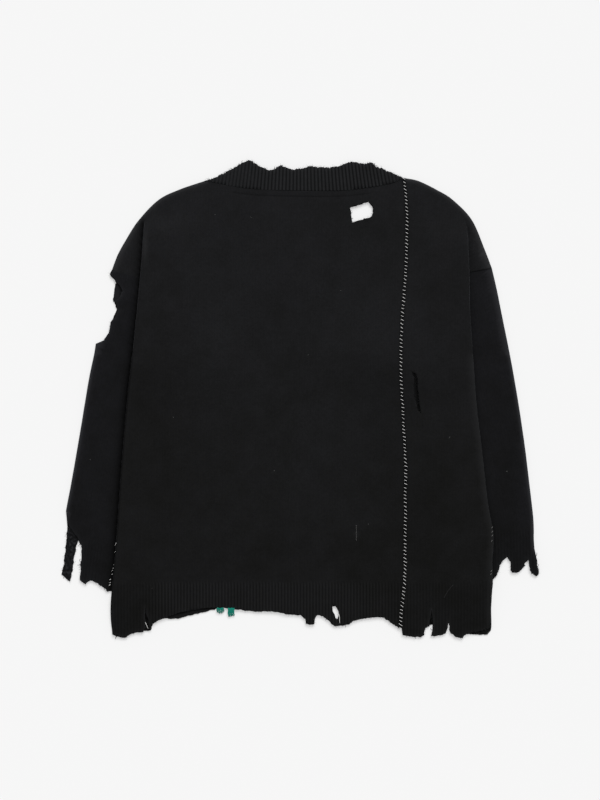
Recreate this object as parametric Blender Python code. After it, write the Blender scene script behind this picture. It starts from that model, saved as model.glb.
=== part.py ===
"""Darned wool pullover, laid flat on its front.

The back lies on top. The sleeves swing down in a pleat below each shoulder and lie
under the sides of the body, so that the body's edge stands over them. Every piece is a
wall of dense knit. Back and front, and the two halves of each sleeve, lie on each other
as one double cloth, and each piece takes the upper or the under layer of it.

Sizes are in millimetres, and MM turns them into metres where a mesh is made. Outlines
are drafted as they lie: x runs to the right from the centre line, and the second number
is the height above the lowest point of the hem.
"""

import math

import bmesh
import bpy
import numpy as np
from mathutils import Vector
from mathutils.geometry import delaunay_2d_cdt

MM = 0.001

# Driving sizes
LENGTH = 714.8
WALL = 2.4
SEAM_GAP = 0.3
RIB_PITCH = 4.7
NECK_RIB_PITCH = 5.4
RIB_HIGH = 0.9
HEM_RIB_TOP = 86.0
LEFT_CUFF_RIB_TOP = 144.0
RIGHT_CUFF_RIB_TOP = 165.0
FOLD_RADIUS = 3.0
UNDERARM = 430.0
PLEAT_FOOT = 425.0
SHOULDER_OF_SLOPE = 8.0
SLOPE_STEPS = (0.0, 26.0, 56.0, 86.0)
SLOPE_SHARES = (1.0, 0.76, 0.26, 0.0)

# How the layers stack
DOUBLE = 2 * WALL + SEAM_GAP
MID_ON_FLOOR = DOUBLE / 2
HALF_APART = (WALL + SEAM_GAP) / 2
OVER_SLEEVE = DOUBLE + SEAM_GAP
OVER_PLEAT = 4 * FOLD_RADIUS
SLACK_ON_SLOPE = 1.0
FULL_BELOW_PLEAT = 9.0
RIM_OPENS = 14.0
RIDGE_FADE = 40.0

# Arc lengths round the pleat, in fold radii
OUTER_FOLD_MIDDLE = math.pi / 2
INNER_FOLD_START = math.pi
INNER_FOLD_MIDDLE = 1.5 * math.pi
INNER_FOLD_END = 2 * math.pi

# How fine the meshes are
GRID = 34.0
SLEEVE_GRID = 50.0
EDGE_STEP = 24.0
ROW_STEP = 21.0
FOLD_ROW_STEP = 9.0
FOLD_SEGMENTS = 4
SEAM_STEP = 20.0
NECK_STEP = 30.0
CLEAR_OF_EDGE = 0.42
CLEAR_OF_LINES = 0.3
EDGE_ROUND = 2.4
EDGE_DROP = 1.1
MERGE = 0.04
SHARP_ANGLE = 50

BODY = (0.0105, 0.0105, 0.0115, 1.0)
SLEEVE = (0.0090, 0.0090, 0.0100, 1.0)
BAND = (0.0125, 0.0125, 0.0135, 1.0)
KNIT_ROUGHNESS = 0.95

LEFT = -1
RIGHT = 1

# Cut lines of the body
BACK_NECK = [(-142.5, 684), (-105, 676), (-67.5, 671), (0, 669), (67.5, 669.5), (127.5, 678), (156, 688)]
FRONT_NECK = [(-142.5, 684), (-139, 655), (-125, 618), (-93, 590), (-48, 574), (0, 570),
              (50, 574), (100, 590), (135, 618), (151, 655), (156, 688)]
LEFT_SHOULDER = [(-142.5, 684), (-180.5, 671), (-211.5, 656), (-241.5, 625.5), (-261, 595.5),
                 (-273.5, 572.5), (-282, 550)]
RIGHT_SHOULDER = [(156, 688), (176, 684), (204, 670.5), (228, 655.5), (256.5, 625.5), (276, 580.5),
                  (286.5, 553)]
PATCH_SEAM = [(156, 688), (159.2, 658.5), (160.6, 622.5), (160, 586.5), (158.6, 550.5), (155.6, 514.5),
              (152.9, 478.5), (151.3, 442.5), (151.1, 415), (151.1, 388.5), (153.4, 352.5), (155.4, 316.5),
              (157.3, 280.5), (158.5, 253), (157.7, 217), (158.2, 185), (157.6, 145), (157.6, 118.5),
              (156.8, 82.5), (154.9, 64.5), (152.6, 46.5), (151.4, 28.5), (151.2, 14.5)]
BACK_HEM = [(-281, 6), (-274, 2), (-262.5, 0), (-256, 5), (-245, 9), (-234.5, 10), (-232, 16),
            (-232.5, 46.5), (-226, 22), (-224, 12), (-222, 21), (-213, 26), (-203, 30), (-187, 36.5),
            (-173, 40.5), (-150, 44), (-133, 46.5), (-115, 45.5), (-90, 42.5), (-73, 40), (-42, 40.5),
            (-21, 36.5), (0, 34), (7.5, 29), (7.8, 21), (20.8, 20.6), (21.3, 30), (25.5, 34), (34, 33),
            (42.6, 26), (51, 18), (65, 19), (73.5, 21), (79, 26), (99.5, 30.3), (113, 32), (125, 31),
            (134, 24.3), (146, 15.6), (151.2, 14.5)]
SIDE_HEM = [(152.8, 5), (165, 2.3), (178.5, 1.5), (185.4, 4.5), (186.3, 15), (190, 17), (195, 17.5),
            (196.6, 43.5), (198.2, 17), (197.4, 10), (195.6, 3.4), (204, 3.8), (211.5, 5), (217, 7.5),
            (219.5, 13), (221.6, 23.5), (223.2, 15), (224.2, 7.5), (229.5, 4), (235, 1), (241, 0.3),
            (244.5, 4.5), (248, 6.5), (259.5, 9.5), (273, 12.5), (285.5, 16.5)]
FRONT_HEM = [(-281, 9), (-265, 4), (-248, 14), (-235, 11.5), (-228, 10.5), (-223.5, 12), (-219.5, 24),
             (-210, 27.5), (-200, 29.5), (-183, 29), (-173, 31.5), (-150, 37.5), (-129, 42.5), (-124, 45.5),
             (-90, 45), (-42, 44), (-21, 40), (0, 38), (15, 37), (30, 38), (43, 54), (62, 54), (67, 31),
             (80, 31), (100, 34), (125, 35), (134, 28), (146, 19), (153, 16), (165, 6), (180, 6),
             (186.5, 18.5), (200, 20.5), (204, 9), (216, 12), (219.5, 26), (225.5, 26), (229, 10), (242, 4),
             (252, 6), (266, 5), (280, 5.5), (285.2, 12)]
SQUARE_HOLE = [(75, 643.5), (102, 652.3), (107.3, 644), (108.4, 637), (105, 629.3), (77.3, 622)]
HEM_HOLE = [(48, 48), (52.5, 48), (57, 40.5), (57.8, 34.5), (55.5, 28.5), (52.5, 30), (51, 36),
            (48.2, 41)]
SLIT = [(169.5, 399), (176.3, 379.5), (179.5, 355.5), (182.4, 335.5), (174.8, 352.5), (171, 376.5)]

# Neckband, its torn top and the front's inner edge with the bite that lets the square hole through
BAND_TOP = [(-142.5, 684), (-125.5, 689.8), (-114.5, 695), (-104, 700.5), (-93, 706.9), (-86.8, 710.8),
            (-77, 714.8), (-72, 713.8), (-65.5, 707.6), (-54.5, 703.7), (-48, 700.5), (-40.5, 700.5),
            (-29, 706.3), (-20.5, 704.4), (-9.5, 700.5), (3, 702.6), (13, 705.4), (24.5, 704.2), (44, 704),
            (59, 706), (67.5, 710.1), (77, 712.6), (89, 709.7), (97.5, 710.1), (105.5, 712), (113, 705.9),
            (125.5, 700.5), (138, 695), (150, 690.3), (156, 688)]
FRONT_BAND_INNER = [(-142.5, 684), (-112.5, 690), (-92, 702), (-80, 711), (-87, 680), (-84, 646),
                    (-62, 622), (-30, 612), (0, 610), (45, 613), (84, 619.5), (111, 619.5), (112, 655),
                    (88, 657), (86, 680), (80, 709), (96, 706), (114, 703), (128, 694), (156, 688)]

# Outlines of the sleeves as they lie, from the shoulder tip down
LEFT_OUTER = [(-306, 440.5), (-308, 427), (-316.5, 385.5), (-331.5, 295.5), (-342, 235.5), (-350.5, 190.5)]
LEFT_RIP_TOP = [(-282, 550), (-284.5, 544), (-276, 532.5), (-268.5, 525), (-265.5, 519), (-270, 510),
                (-277.5, 504), (-273, 490.5), (-276, 481.5), (-283.5, 472.5), (-286.5, 456), (-295, 444)]
LEFT_RIP_UNDER = [(-282, 550), (-285, 545.3), (-274.5, 534), (-279, 520.5), (-280.5, 507),
                  (-274.5, 492), (-282, 474), (-285, 457.5), (-294, 445.5)]
LEFT_CUFF_TOP = [(-348, 172), (-344.5, 167), (-337, 156), (-331.5, 149.5), (-327, 139), (-327.6, 119.5),
                 (-328.8, 100.5), (-329.8, 88), (-321, 80.8), (-314, 87), (-303.5, 82), (-290.5, 73.3),
                 (-288.5, 69.5), (-282, 70), (-270, 74), (-248, 74)]
LEFT_CUFF_UNDER = [(-348.5, 166), (-349.5, 154), (-351.3, 134), (-354, 108), (-357.4, 95.5),
                   (-344.5, 84.5), (-341, 100), (-338.4, 119.5), (-335.6, 136.5), (-331.5, 146),
                   (-325.5, 134), (-325.5, 120), (-327, 103), (-326.5, 90), (-321, 84), (-314, 90),
                   (-303, 85.5), (-290, 77), (-280, 75), (-270, 77), (-248, 74)]
RIGHT_OUTER = [(286.5, 553), (294, 520.5), (303, 475.5), (315, 415.5), (325.5, 355.5), (334.5, 295.5),
               (342, 235.5), (348.5, 178), (349, 150), (350, 134)]
RIGHT_CUFF_TOP = [(352.4, 123), (353.4, 116), (354.6, 108), (355.9, 102), (357.4, 97), (353.5, 93.3),
                  (345.5, 96.8), (342.8, 102), (341.8, 114), (340.3, 117.5), (336.5, 113.5), (335, 110.5),
                  (336, 108.3), (333, 106), (329.6, 101.5), (326, 98.8), (317, 98.3), (314.4, 102),
                  (314, 114), (308.8, 121.5), (299.4, 111), (296.8, 103.5), (293.8, 94.5), (289, 88.3),
                  (283, 87), (268, 88), (252, 93)]
RIGHT_CUFF_UNDER = [(351.5, 125), (352.5, 111), (352, 102), (346.5, 105), (344, 117), (340.5, 121.5),
                    (334.5, 115), (330, 105), (324, 102), (318.5, 102), (317, 108), (317, 116),
                    (309.8, 126.5), (297, 115), (294, 106), (291, 98), (282, 90), (268, 90), (252, 93)]
LEFT_ARMHOLE_INNER = 530.0
RIGHT_ARMHOLE_INNER = 540.0

# Below the pleat's foot the sleeve's inner edge comes off the fold, then has its corner this far
# out from the tuck and this far down. The body's edge stops a little above the hem's corner.
OFF_THE_FOLD = ((INNER_FOLD_MIDDLE, 0.0), (1.75 * math.pi, 4.0), (INNER_FOLD_END, 8.0))
SLEEVE_CORNER = (9.0, 16.0)
FOLDS_GO_ON = 10.0
HEM_CORNER = 6.0

# Ribbed zones: top, foot, how far a rib leans outwards for each millimetre down, and their ends.
# The foot lies past the torn edge. The ends of a cuff count from the body's edge outwards.
HEM_BAND = {"top": HEM_RIB_TOP, "foot": -4.0, "lean": 0.0, "x": (-300, 300), "pitch": RIB_PITCH}
NECK_BAND = {"top": 730.0, "foot": 660.0, "lean": 0.0, "x": (-138, 150), "pitch": NECK_RIB_PITCH}
LEFT_CUFF_BAND = {"top": LEFT_CUFF_RIB_TOP, "foot": 60.0, "lean": -0.1, "x": (-329, -284),
                  "pitch": RIB_PITCH}
RIGHT_CUFF_BAND = {"top": RIGHT_CUFF_RIB_TOP, "foot": 84.0, "lean": 0.0, "x": (287, 352),
                   "pitch": RIB_PITCH}

# Soft ridges of the back: a point on each, its direction in degrees, half width, half length, height
RIDGES = [(-60, 520, 62, 34, 150, 1.5), (40, 330, 100, 40, 130, 1.3), (-150, 250, 84, 30, 120, 1.4),
          (210, 200, 96, 26, 90, 1.2), (-40, 150, 15, 32, 120, 1.0)]


def smooth(t):
    """Ease from 0 to 1 as t goes from 0 to 1."""
    t = min(max(t, 0.0), 1.0)
    return t * t * (3 - 2 * t)


def spline(points, step=EDGE_STEP):
    """Points along a Catmull-Rom curve through the given ones, about a step apart."""
    ends = [points[0]] + list(points) + [points[-1]]
    out = []
    for a, b, c, d in zip(ends, ends[1:], ends[2:], ends[3:]):
        a, b, c, d = (Vector(p) for p in (a, b, c, d))
        count = max(1, round((c - b).length / step))
        for i in range(count):
            t = i / count
            square = 2 * a - 5 * b + 4 * c - d
            cube = 3 * b - a - 3 * c + d
            out.append(tuple(b + ((c - a) * t + square * t ** 2 + cube * t ** 3) / 2))
    return out + [tuple(points[-1])]


def shifted(points, gap):
    """The line moved sideways by a gap, to the left of its run."""
    out = []
    for i, p in enumerate(points):
        before = Vector(points[max(i - 1, 0)])
        after = Vector(points[min(i + 1, len(points) - 1)])
        along = (after - before).normalized()
        out.append((p[0] - along.y * gap, p[1] + along.x * gap))
    return out


class Side:
    """One half of the garment: the body's edge, the pleat beside it and the tucked sleeve."""

    def __init__(self, sign, edge, pleat_top, pleat_full, tuck, cuff_inner, cuff_low):
        self.sign = sign
        curve = sorted((h, x) for x, h in spline(edge))
        self.heights = [h for h, x in curve]
        self.edges = [x for h, x in curve]
        self.pleat_top = pleat_top
        self.pleat_full = pleat_full
        self.tuck = tuck
        self.cuff_inner = cuff_inner
        self.cuff_low = cuff_low
        self.deepest = self.crease(PLEAT_FOOT) - FOLD_RADIUS - MID_ON_FLOOR - tuck

    def edge(self, h):
        """Where the body's edge is seen, from the centre line."""
        return float(np.interp(h, self.heights, self.edges))

    def crease(self, h):
        """Where the body starts to turn under at its edge."""
        return self.edge(h) - FOLD_RADIUS - MID_ON_FLOOR

    def turn(self, h):
        """How far the cloth turns under: nothing above the pleat, half a turn in it."""
        t = (self.pleat_top - h) / (self.pleat_top - self.pleat_full)
        return math.pi * min(max(t, 0.0), 1.0)

    def back_run(self, h):
        """How far the pleat runs back under the body."""
        t = (self.pleat_full - h) / (self.pleat_full - PLEAT_FOOT)
        return self.deepest * min(max(t, 0.0), 1.0)

    def shift(self, h):
        """Length of cloth that the pleat takes up in this row."""
        turn = self.turn(h)
        return 2 * FOLD_RADIUS * (turn - math.sin(turn)) + self.back_run(h) * (1 - math.cos(turn))

    def inner(self, h):
        """Inner end of what lies under the body: the pleat, and below it the sleeve."""
        if h >= PLEAT_FOOT:
            return self.crease(h) - self.back_run(h) - FOLD_RADIUS - MID_ON_FLOOR
        x, low = self.cuff_inner
        t = min((PLEAT_FOOT - h) / (PLEAT_FOOT - low), 1.0)
        return self.tuck + (x - self.tuck) * t

    def pleat_rows(self):
        """Rows in which the cloth turns from flat into the full pleat."""
        return rows(self.pleat_full, self.pleat_top, FOLD_ROW_STEP)

    def steps_down(self):
        """Rows where the lifted side changes its slope, each with its height, from the hem up."""
        between = OVER_PLEAT - OVER_SLEEVE
        steps = [(0.0, 0.0), (self.cuff_low, OVER_SLEEVE)]
        for drop, share in zip(SLOPE_STEPS[::-1], SLOPE_SHARES[::-1]):
            steps.append((PLEAT_FOOT - FULL_BELOW_PLEAT - drop, OVER_SLEEVE + between * share))
        return steps + [(h, 2 * FOLD_RADIUS * (1 - math.cos(self.turn(h)))) for h in self.pleat_rows()]

    def rise(self, h):
        """How far the body's side is lifted by what lies under it."""
        heights, lifts = zip(*self.steps_down())
        return float(np.interp(h, heights, lifts))

    def ramp(self, a, h):
        """Share of the rise at a point: 1 over the sleeve, 0 in the middle of the body."""
        return float(np.interp(self.inner(h) - SHOULDER_OF_SLOPE - a, SLOPE_STEPS, SLOPE_SHARES))


SIDES = {
    LEFT: Side(LEFT, [(231.5, 640), (233, 628.5), (238.5, 547.5), (251, 430.5), (261, 355.5), (268.5, 253.5),
                      (274, 177), (279, 100.5), (282.3, 66), (283.6, 42), (283, 24), (281, 6)],
               pleat_top=640, pleat_full=597, tuck=160, cuff_inner=(248, 74), cuff_low=64),
    RIGHT: Side(RIGHT, [(247, 640), (250.5, 609), (255, 547.5), (256.5, 430.5), (262.5, 355.5), (271.5, 279),
                        (280, 202.5), (288.5, 154.5), (286.5, 112), (287.6, 82.5), (286.2, 69),
                        (285.6, 56.5), (285, 44), (285.6, 25.5), (285.5, 16.5)],
                pleat_top=634, pleat_full=589, tuck=135, cuff_inner=(252, 93), cuff_low=80),
}


def side_of(s):
    return SIDES[RIGHT if s >= 0 else LEFT]


def unfolded(points):
    """Points that lie outside the body's edge, moved out by the cloth that the pleat takes up."""
    return [(x + side_of(x).sign * side_of(x).shift(h), h) for x, h in points]


def ridges(x, h):
    """Height of the back's soft ridges."""
    total = 0.0
    for cx, cy, degrees, half_width, half_length, high in RIDGES:
        angle = math.radians(degrees)
        along = (x - cx) * math.cos(angle) + (h - cy) * math.sin(angle)
        across = (h - cy) * math.cos(angle) - (x - cx) * math.sin(angle)
        total += high * math.exp(-(across / half_width) ** 2 - (along / half_length) ** 2)
    return total


def double_cloth(s, h):
    """Where the middle of the double cloth lies, and which way its upper side faces.

    s is the length of cloth out from the centre line in the row h. It runs over the body,
    round the body's edge, back under it, round again and out into the shoulder or sleeve.
    """
    side = side_of(s)
    a = abs(s)
    crease = side.crease(h)
    if a <= crease:
        return a, MID_ON_FLOOR + side.rise(h) * side.ramp(a, h), 0.0
    turn = side.turn(h)
    run = side.back_run(h)
    top = MID_ON_FLOOR + side.rise(h)
    arc = FOLD_RADIUS * turn
    if a <= crease + arc:
        angle = (a - crease) / FOLD_RADIUS
        x = crease + FOLD_RADIUS * math.sin(angle)
        z = top - FOLD_RADIUS * (1 - math.cos(angle))
        return flattened_rim(side, a, h, x, z, angle, top)
    x = crease + FOLD_RADIUS * math.sin(turn)
    z = top - FOLD_RADIUS * (1 - math.cos(turn))
    if a <= crease + arc + run:
        t = a - crease - arc
        return x + t * math.cos(turn), z - t * math.sin(turn), turn
    x += run * math.cos(turn)
    z -= run * math.sin(turn)
    if a <= crease + 2 * arc + run:
        angle = turn - (a - crease - arc - run) / FOLD_RADIUS
        x += FOLD_RADIUS * (math.sin(turn) - math.sin(angle))
        z += FOLD_RADIUS * (math.cos(turn) - math.cos(angle))
        return x, z, angle
    return a - side.shift(h), MID_ON_FLOOR, 0.0


def flattened_rim(side, a, h, x, z, angle, top):
    """Below the underarm the body has no pleat: its rolled edge opens into a flat one."""
    flat = smooth((UNDERARM - h) / RIM_OPENS) if a <= side.edge(h) + 1 else 0.0
    return x + (a - x) * flat, z + (top - z) * flat, angle * (1 - flat)


def rib(x, h, band):
    """Height of the rib at a point of a ribbed zone, or 0 outside it."""
    if band is None or not (h < band["top"] + MERGE and band["x"][0] < x < band["x"][1]):
        return 0.0
    phase = (x - band["lean"] * (band["top"] - h)) / band["pitch"]
    return RIB_HIGH * (1 - 2 * abs(phase - math.floor(phase) - 0.5))


def rib_lines(band):
    """Ridge and valley lines of a ribbed zone, past the cloth's edge at their foot, and its ends."""
    half = band["pitch"] / 2
    first = math.ceil(band["x"][0] / half)
    last = math.floor(band["x"][1] / half)
    starts = [k * half for k in range(first, last + 1)]
    starts += [band["x"][0] - 1.0, band["x"][1] + 1.0]
    lean = band["lean"] * (band["top"] - band["foot"])
    return [[(x, band["top"]), (x + lean, band["foot"])] for x in starts]


def rows(low, high, step):
    count = max(1, round((high - low) / step))
    return [low + (high - low) * i / count for i in range(count + 1)]


def fold_lines(side):
    """Lines along both folds of the pleat, so that the mesh turns round them in even steps."""
    heights = rows(PLEAT_FOOT - FOLDS_GO_ON, side.pleat_full, ROW_STEP) + side.pleat_rows()[1:-1]
    lines = []
    for k in range(FOLD_SEGMENTS + 1):
        for fold in (0, 1):
            line = []
            for h in heights:
                arc = FOLD_RADIUS * side.turn(h)
                start = side.crease(h) + fold * (arc + side.back_run(h))
                line.append((side.sign * (start + arc * k / FOLD_SEGMENTS), h))
            lines.append(line)
    return lines


def slope_lines(side):
    """Lines along the slope from the lifted side down to the middle of the body."""
    knots = [h for h, lift in side.steps_down()]
    heights = []
    for low, high in zip(knots, knots[1:]):
        heights += rows(low, high, ROW_STEP * 1.5)[:-1]
    lines = []
    for step in SLOPE_STEPS:
        lines.append([(side.sign * (side.inner(h) - SHOULDER_OF_SLOPE - step), h) for h in heights])
    for h in knots[1:-1]:
        top = side.inner(h) - SHOULDER_OF_SLOPE
        end = side.crease(h) if h > PLEAT_FOOT else side.edge(h) + SLEEVE_CORNER[0]
        lines.append([(side.sign * x, h) for x in [end] + [top - step for step in SLOPE_STEPS]])
    return lines


def nearest(points, lines):
    """Distance from each point to the nearest of some lines."""
    best = np.full(len(points), np.inf)
    for line in lines:
        for start, end in zip(line, line[1:]):
            a = np.array(start)
            run = np.array(end) - a
            t = np.clip(((points - a) @ run) / max(float(run @ run), 1e-12), 0, 1)
            best = np.minimum(best, np.linalg.norm(points - a - t[:, None] * run, axis=1))
    return best


def inside(points, loop):
    """Which points lie inside a closed outline."""
    odd = np.zeros(len(points), bool)
    x, y = points[:, 0], points[:, 1]
    for (x0, y0), (x1, y1) in zip(loop, loop[1:] + loop[:1]):
        if y0 == y1:
            continue
        crosses = (y0 > y) != (y1 > y)
        odd ^= crosses & (x < (x1 - x0) * (y - y0) / (y1 - y0) + x0)
    return odd


def triangles(outline, holes, lines, folds, grid):
    """Cut the flat cloth into triangles: its edges, the given lines and a grid between them."""
    loops = [outline] + holes
    closed = [loop + loop[:1] for loop in loops]
    points = []
    edges = []
    for loop in closed:
        start = len(points)
        points += loop[:-1]
        edges += [(start + i, start + (i + 1) % (len(loop) - 1)) for i in range(len(loop) - 1)]
    for line in lines:
        edges += [(len(points) + i, len(points) + i + 1) for i in range(len(line) - 1)]
        points += line
    all_x = [p[0] for p in outline]
    all_h = [p[1] for p in outline]
    columns = np.arange(math.floor(min(all_x) / grid), math.ceil(max(all_x) / grid) + 1) * grid
    levels = np.arange(math.floor(min(all_h) / grid), math.ceil(max(all_h) / grid) + 1) * grid
    free = [(x + (grid / 2 if j % 2 else 0), h) for j, h in enumerate(levels) for x in columns]
    free = np.array(free)
    clear = (nearest(free, closed) > grid * CLEAR_OF_EDGE) & (nearest(free, lines) > grid * CLEAR_OF_LINES)
    free = free[clear]
    rims = [p for fold in folds for p in shifted(fold, EDGE_ROUND)]
    if rims:
        rims = np.array(rims)
        rims = rims[nearest(rims, closed) > EDGE_ROUND * 0.8]
    points += [tuple(p) for p in free] + [tuple(p) for p in rims]
    flat, _, faces, _, _, _ = delaunay_2d_cdt([Vector(p) for p in points], edges, [], 0, MERGE)
    flat = np.array([tuple(p) for p in flat])
    faces = [tuple(f) for f in faces]
    centres = flat[np.array(faces)].mean(axis=1)
    kept = inside(centres, outline)
    for hole in holes:
        kept &= ~inside(centres, hole)
    return flat, [f for f, keep in zip(faces, kept) if keep]


def cloth(name, outline, layer, material, holes=(), lines=(), folds=(), band=None, grid=GRID, lifted=False):
    """A wall of knit in the upper (1) or under (-1) layer of the double cloth.

    folds are the stretches of the outline where the cloth folds round and not where it is
    cut, run with the cloth on their left; the outer face is rounded there.
    """
    holes = [list(hole) for hole in holes]
    flat, faces = triangles(list(outline), holes, list(lines), folds, grid)
    used = sorted({i for face in faces for i in face})
    near_fold = nearest(flat, folds) if folds else np.full(len(flat), np.inf)
    mesh = bmesh.new()
    outer = {}
    inner = {}
    for i in used:
        s, h = flat[i]
        x, z, angle = double_cloth(s, h)
        middle = layer * HALF_APART
        if lifted and angle == 0.0 and abs(s) <= side_of(s).crease(h):
            side = side_of(s)
            ramp = side.ramp(abs(s), h)
            slack = SLACK_ON_SLOPE * 4 * ramp * (1 - ramp) * side.rise(h) / OVER_PLEAT
            middle += slack + ridges(x * side.sign, h) * smooth((side.edge(h) - abs(s)) / RIDGE_FADE)
        rounding = EDGE_DROP * max(1 - near_fold[i] / EDGE_ROUND, 0.0) ** 2
        high = WALL / 2 + rib(s, h, band) - rounding
        sign = side_of(s).sign
        for store, offset in ((outer, middle + layer * high), (inner, middle - layer * WALL / 2)):
            across = sign * (x + offset * math.sin(angle))
            up = z + offset * math.cos(angle)
            store[i] = mesh.verts.new((across * MM, (h - LENGTH / 2) * MM, up * MM))
    rim = {}
    for a, b, c in faces:
        mesh.faces.new((outer[a], outer[b], outer[c]))
        mesh.faces.new((inner[c], inner[b], inner[a]))
        for start, end in ((a, b), (b, c), (c, a)):
            if (end, start) in rim:
                del rim[end, start]
            else:
                rim[start, end] = True
    for start, end in rim:
        mesh.faces.new((outer[end], outer[start], inner[start], inner[end]))
    bmesh.ops.triangulate(mesh, faces=[f for f in mesh.faces if len(f.verts) > 3])
    bmesh.ops.recalc_face_normals(mesh, faces=mesh.faces)
    data = bpy.data.meshes.new(name)
    mesh.to_mesh(data)
    mesh.free()
    data.materials.append(material)
    data.shade_smooth()
    data.set_sharp_from_angle(angle=math.radians(SHARP_ANGLE))
    piece = bpy.data.objects.new(name, data)
    garment.objects.link(piece)
    return piece


def knit(name, colour):
    material = bpy.data.materials.new(name)
    material.use_nodes = True
    shader = material.node_tree.nodes["Principled BSDF"]
    shader.inputs["Base Color"].default_value = colour
    shader.inputs["Roughness"].default_value = KNIT_ROUGHNESS
    shader.inputs["Metallic"].default_value = 0.0
    return material


def body_edge(side, low):
    """The body's side seam, from the underarm down to the hem."""
    heights = rows(low, UNDERARM - RIM_OPENS, EDGE_STEP)[::-1]
    return [(side.sign * side.edge(h), h) for h in heights]


def armhole(side, tip, inner_height):
    """The armhole seam: in from the shoulder tip, round the inner fold and out to the underarm."""
    turned = side.crease(inner_height) + FOLD_RADIUS * INNER_FOLD_MIDDLE + side.back_run(inner_height)
    end = side.crease(UNDERARM) + FOLD_RADIUS * OUTER_FOLD_MIDDLE
    line = unfolded([tip]) + [(side.sign * (turned + FOLD_RADIUS * INNER_FOLD_START), inner_height)]
    line += [(side.sign * turned, inner_height), (side.sign * end, UNDERARM)]
    return dense(line, EDGE_STEP)


def dense(points, step):
    """The same straight lines with points about a step apart."""
    out = []
    for a, b in zip(points, points[1:]):
        a, b = Vector(a), Vector(b)
        count = max(1, round((b - a).length / step))
        out += [tuple(a.lerp(b, i / count)) for i in range(count)]
    return out + [tuple(points[-1])]


def underarm_seam(side):
    """The sleeve's inner edge: from the underarm back round the inner fold, then to the cuff."""
    start = side.crease(UNDERARM) + FOLD_RADIUS * OUTER_FOLD_MIDDLE
    line = [(side.sign * start, UNDERARM)]
    for arc, drop in OFF_THE_FOLD:
        h = PLEAT_FOOT - drop
        line.append((side.sign * (side.crease(h) + FOLD_RADIUS * arc + side.back_run(h)), h))
    line += unfolded([(side.sign * (side.tuck + SLEEVE_CORNER[0]), PLEAT_FOOT - SLEEVE_CORNER[1])])
    line += unfolded([(side.sign * side.cuff_inner[0], side.cuff_inner[1])])
    return dense(line, EDGE_STEP)


def halves(seam, gap=SEAM_GAP / 2):
    """Both sides of a seam, a gap apart."""
    return shifted(seam, gap), shifted(seam, -gap)


def make_body(body, band_material):
    left, right = SIDES[LEFT], SIDES[RIGHT]
    left_arm = armhole(left, LEFT_SHOULDER[-1], LEFT_ARMHOLE_INNER)
    right_arm = armhole(right, RIGHT_SHOULDER[-1], RIGHT_ARMHOLE_INNER)
    left_shoulder = unfolded(spline(LEFT_SHOULDER))
    right_shoulder = unfolded(spline(RIGHT_SHOULDER))
    left_edge = body_edge(left, BACK_HEM[0][1] + HEM_CORNER)
    right_edge = body_edge(right, SIDE_HEM[-1][1] + HEM_CORNER)
    back_neck, band_neck = halves(spline(BACK_NECK))[::-1]
    front_neck, front_band_neck = halves(spline(FRONT_NECK, NECK_STEP))[::-1]
    main_seam, side_seam = halves(spline(PATCH_SEAM, SEAM_STEP))[::-1]
    left_arm_body = halves(left_arm)[0]
    right_arm_body = halves(right_arm)[1]
    lines = fold_lines(left) + slope_lines(left)
    side_lines = fold_lines(right) + slope_lines(right)
    ribs = rib_lines(HEM_BAND)

    left_down = left_shoulder[1:-1] + left_arm_body + left_edge
    cut_main = back_neck[::-1][1:] + left_down + BACK_HEM[:-1] + main_seam[::-1]
    folds = [left_shoulder, left_edge]
    cloth("back_main", cut_main, 1, body, holes=[SQUARE_HOLE, HEM_HOLE],
          lines=lines + side_lines + ribs, folds=folds, band=HEM_BAND, lifted=True)
    right_up = right_edge[::-1] + right_arm_body[::-1] + right_shoulder[::-1][1:-1]
    cut_side = side_seam + SIDE_HEM + right_up
    cloth("back_side", cut_side, 1, body, holes=[SLIT], lines=side_lines + ribs,
          folds=[right_edge[::-1], right_shoulder[::-1]], band=HEM_BAND, lifted=True)
    cut_front = front_neck[::-1][1:] + left_down + FRONT_HEM + right_up
    cloth("front", cut_front, -1, body, lines=lines + side_lines,
          folds=folds + [right_edge[::-1], right_shoulder[::-1]])

    cut_band = band_neck + BAND_TOP[::-1][1:-1]
    cloth("neckband_back", cut_band, 1, band_material, lines=rib_lines(NECK_BAND), band=NECK_BAND)
    cut_front_band = front_band_neck + FRONT_BAND_INNER[::-1][1:-1]
    cloth("neckband_front", cut_front_band, -1, band_material)
    return left_arm, right_arm


def make_sleeve(side, word, arm, outers, cuffs, band, material):
    """A flattened tube in two halves, cut along its outer fold and its underarm seam."""
    arm_sleeve = halves(arm)[1 if side.sign == LEFT else 0]
    underarm = underarm_seam(side)
    below_body = side.sign * side.shift(0)
    band = dict(band, x=tuple(end + below_body for end in band["x"]))
    lines = fold_lines(side)
    for layer, outer, cuff in zip((1, -1), outers, cuffs):
        outer_line = unfolded(outer)
        cut = outer_line[1:] + unfolded(cuff)[:-1] + underarm[::-1][:-1] + arm_sleeve[::-1]
        fold = outer_line if side.sign == LEFT else outer_line[::-1]
        inner = [p for p in underarm if p[1] < PLEAT_FOOT - FOLDS_GO_ON]
        inner = inner[::-1] if side.sign == LEFT else inner
        if layer == 1:
            cloth("sleeve_" + word + "_top", cut, layer, material, lines=lines + rib_lines(band),
                  folds=[fold, inner], band=band, grid=SLEEVE_GRID)
        else:
            cloth("sleeve_" + word + "_under", cut, layer, material, lines=lines, folds=[fold, inner],
                  grid=SLEEVE_GRID)


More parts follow.
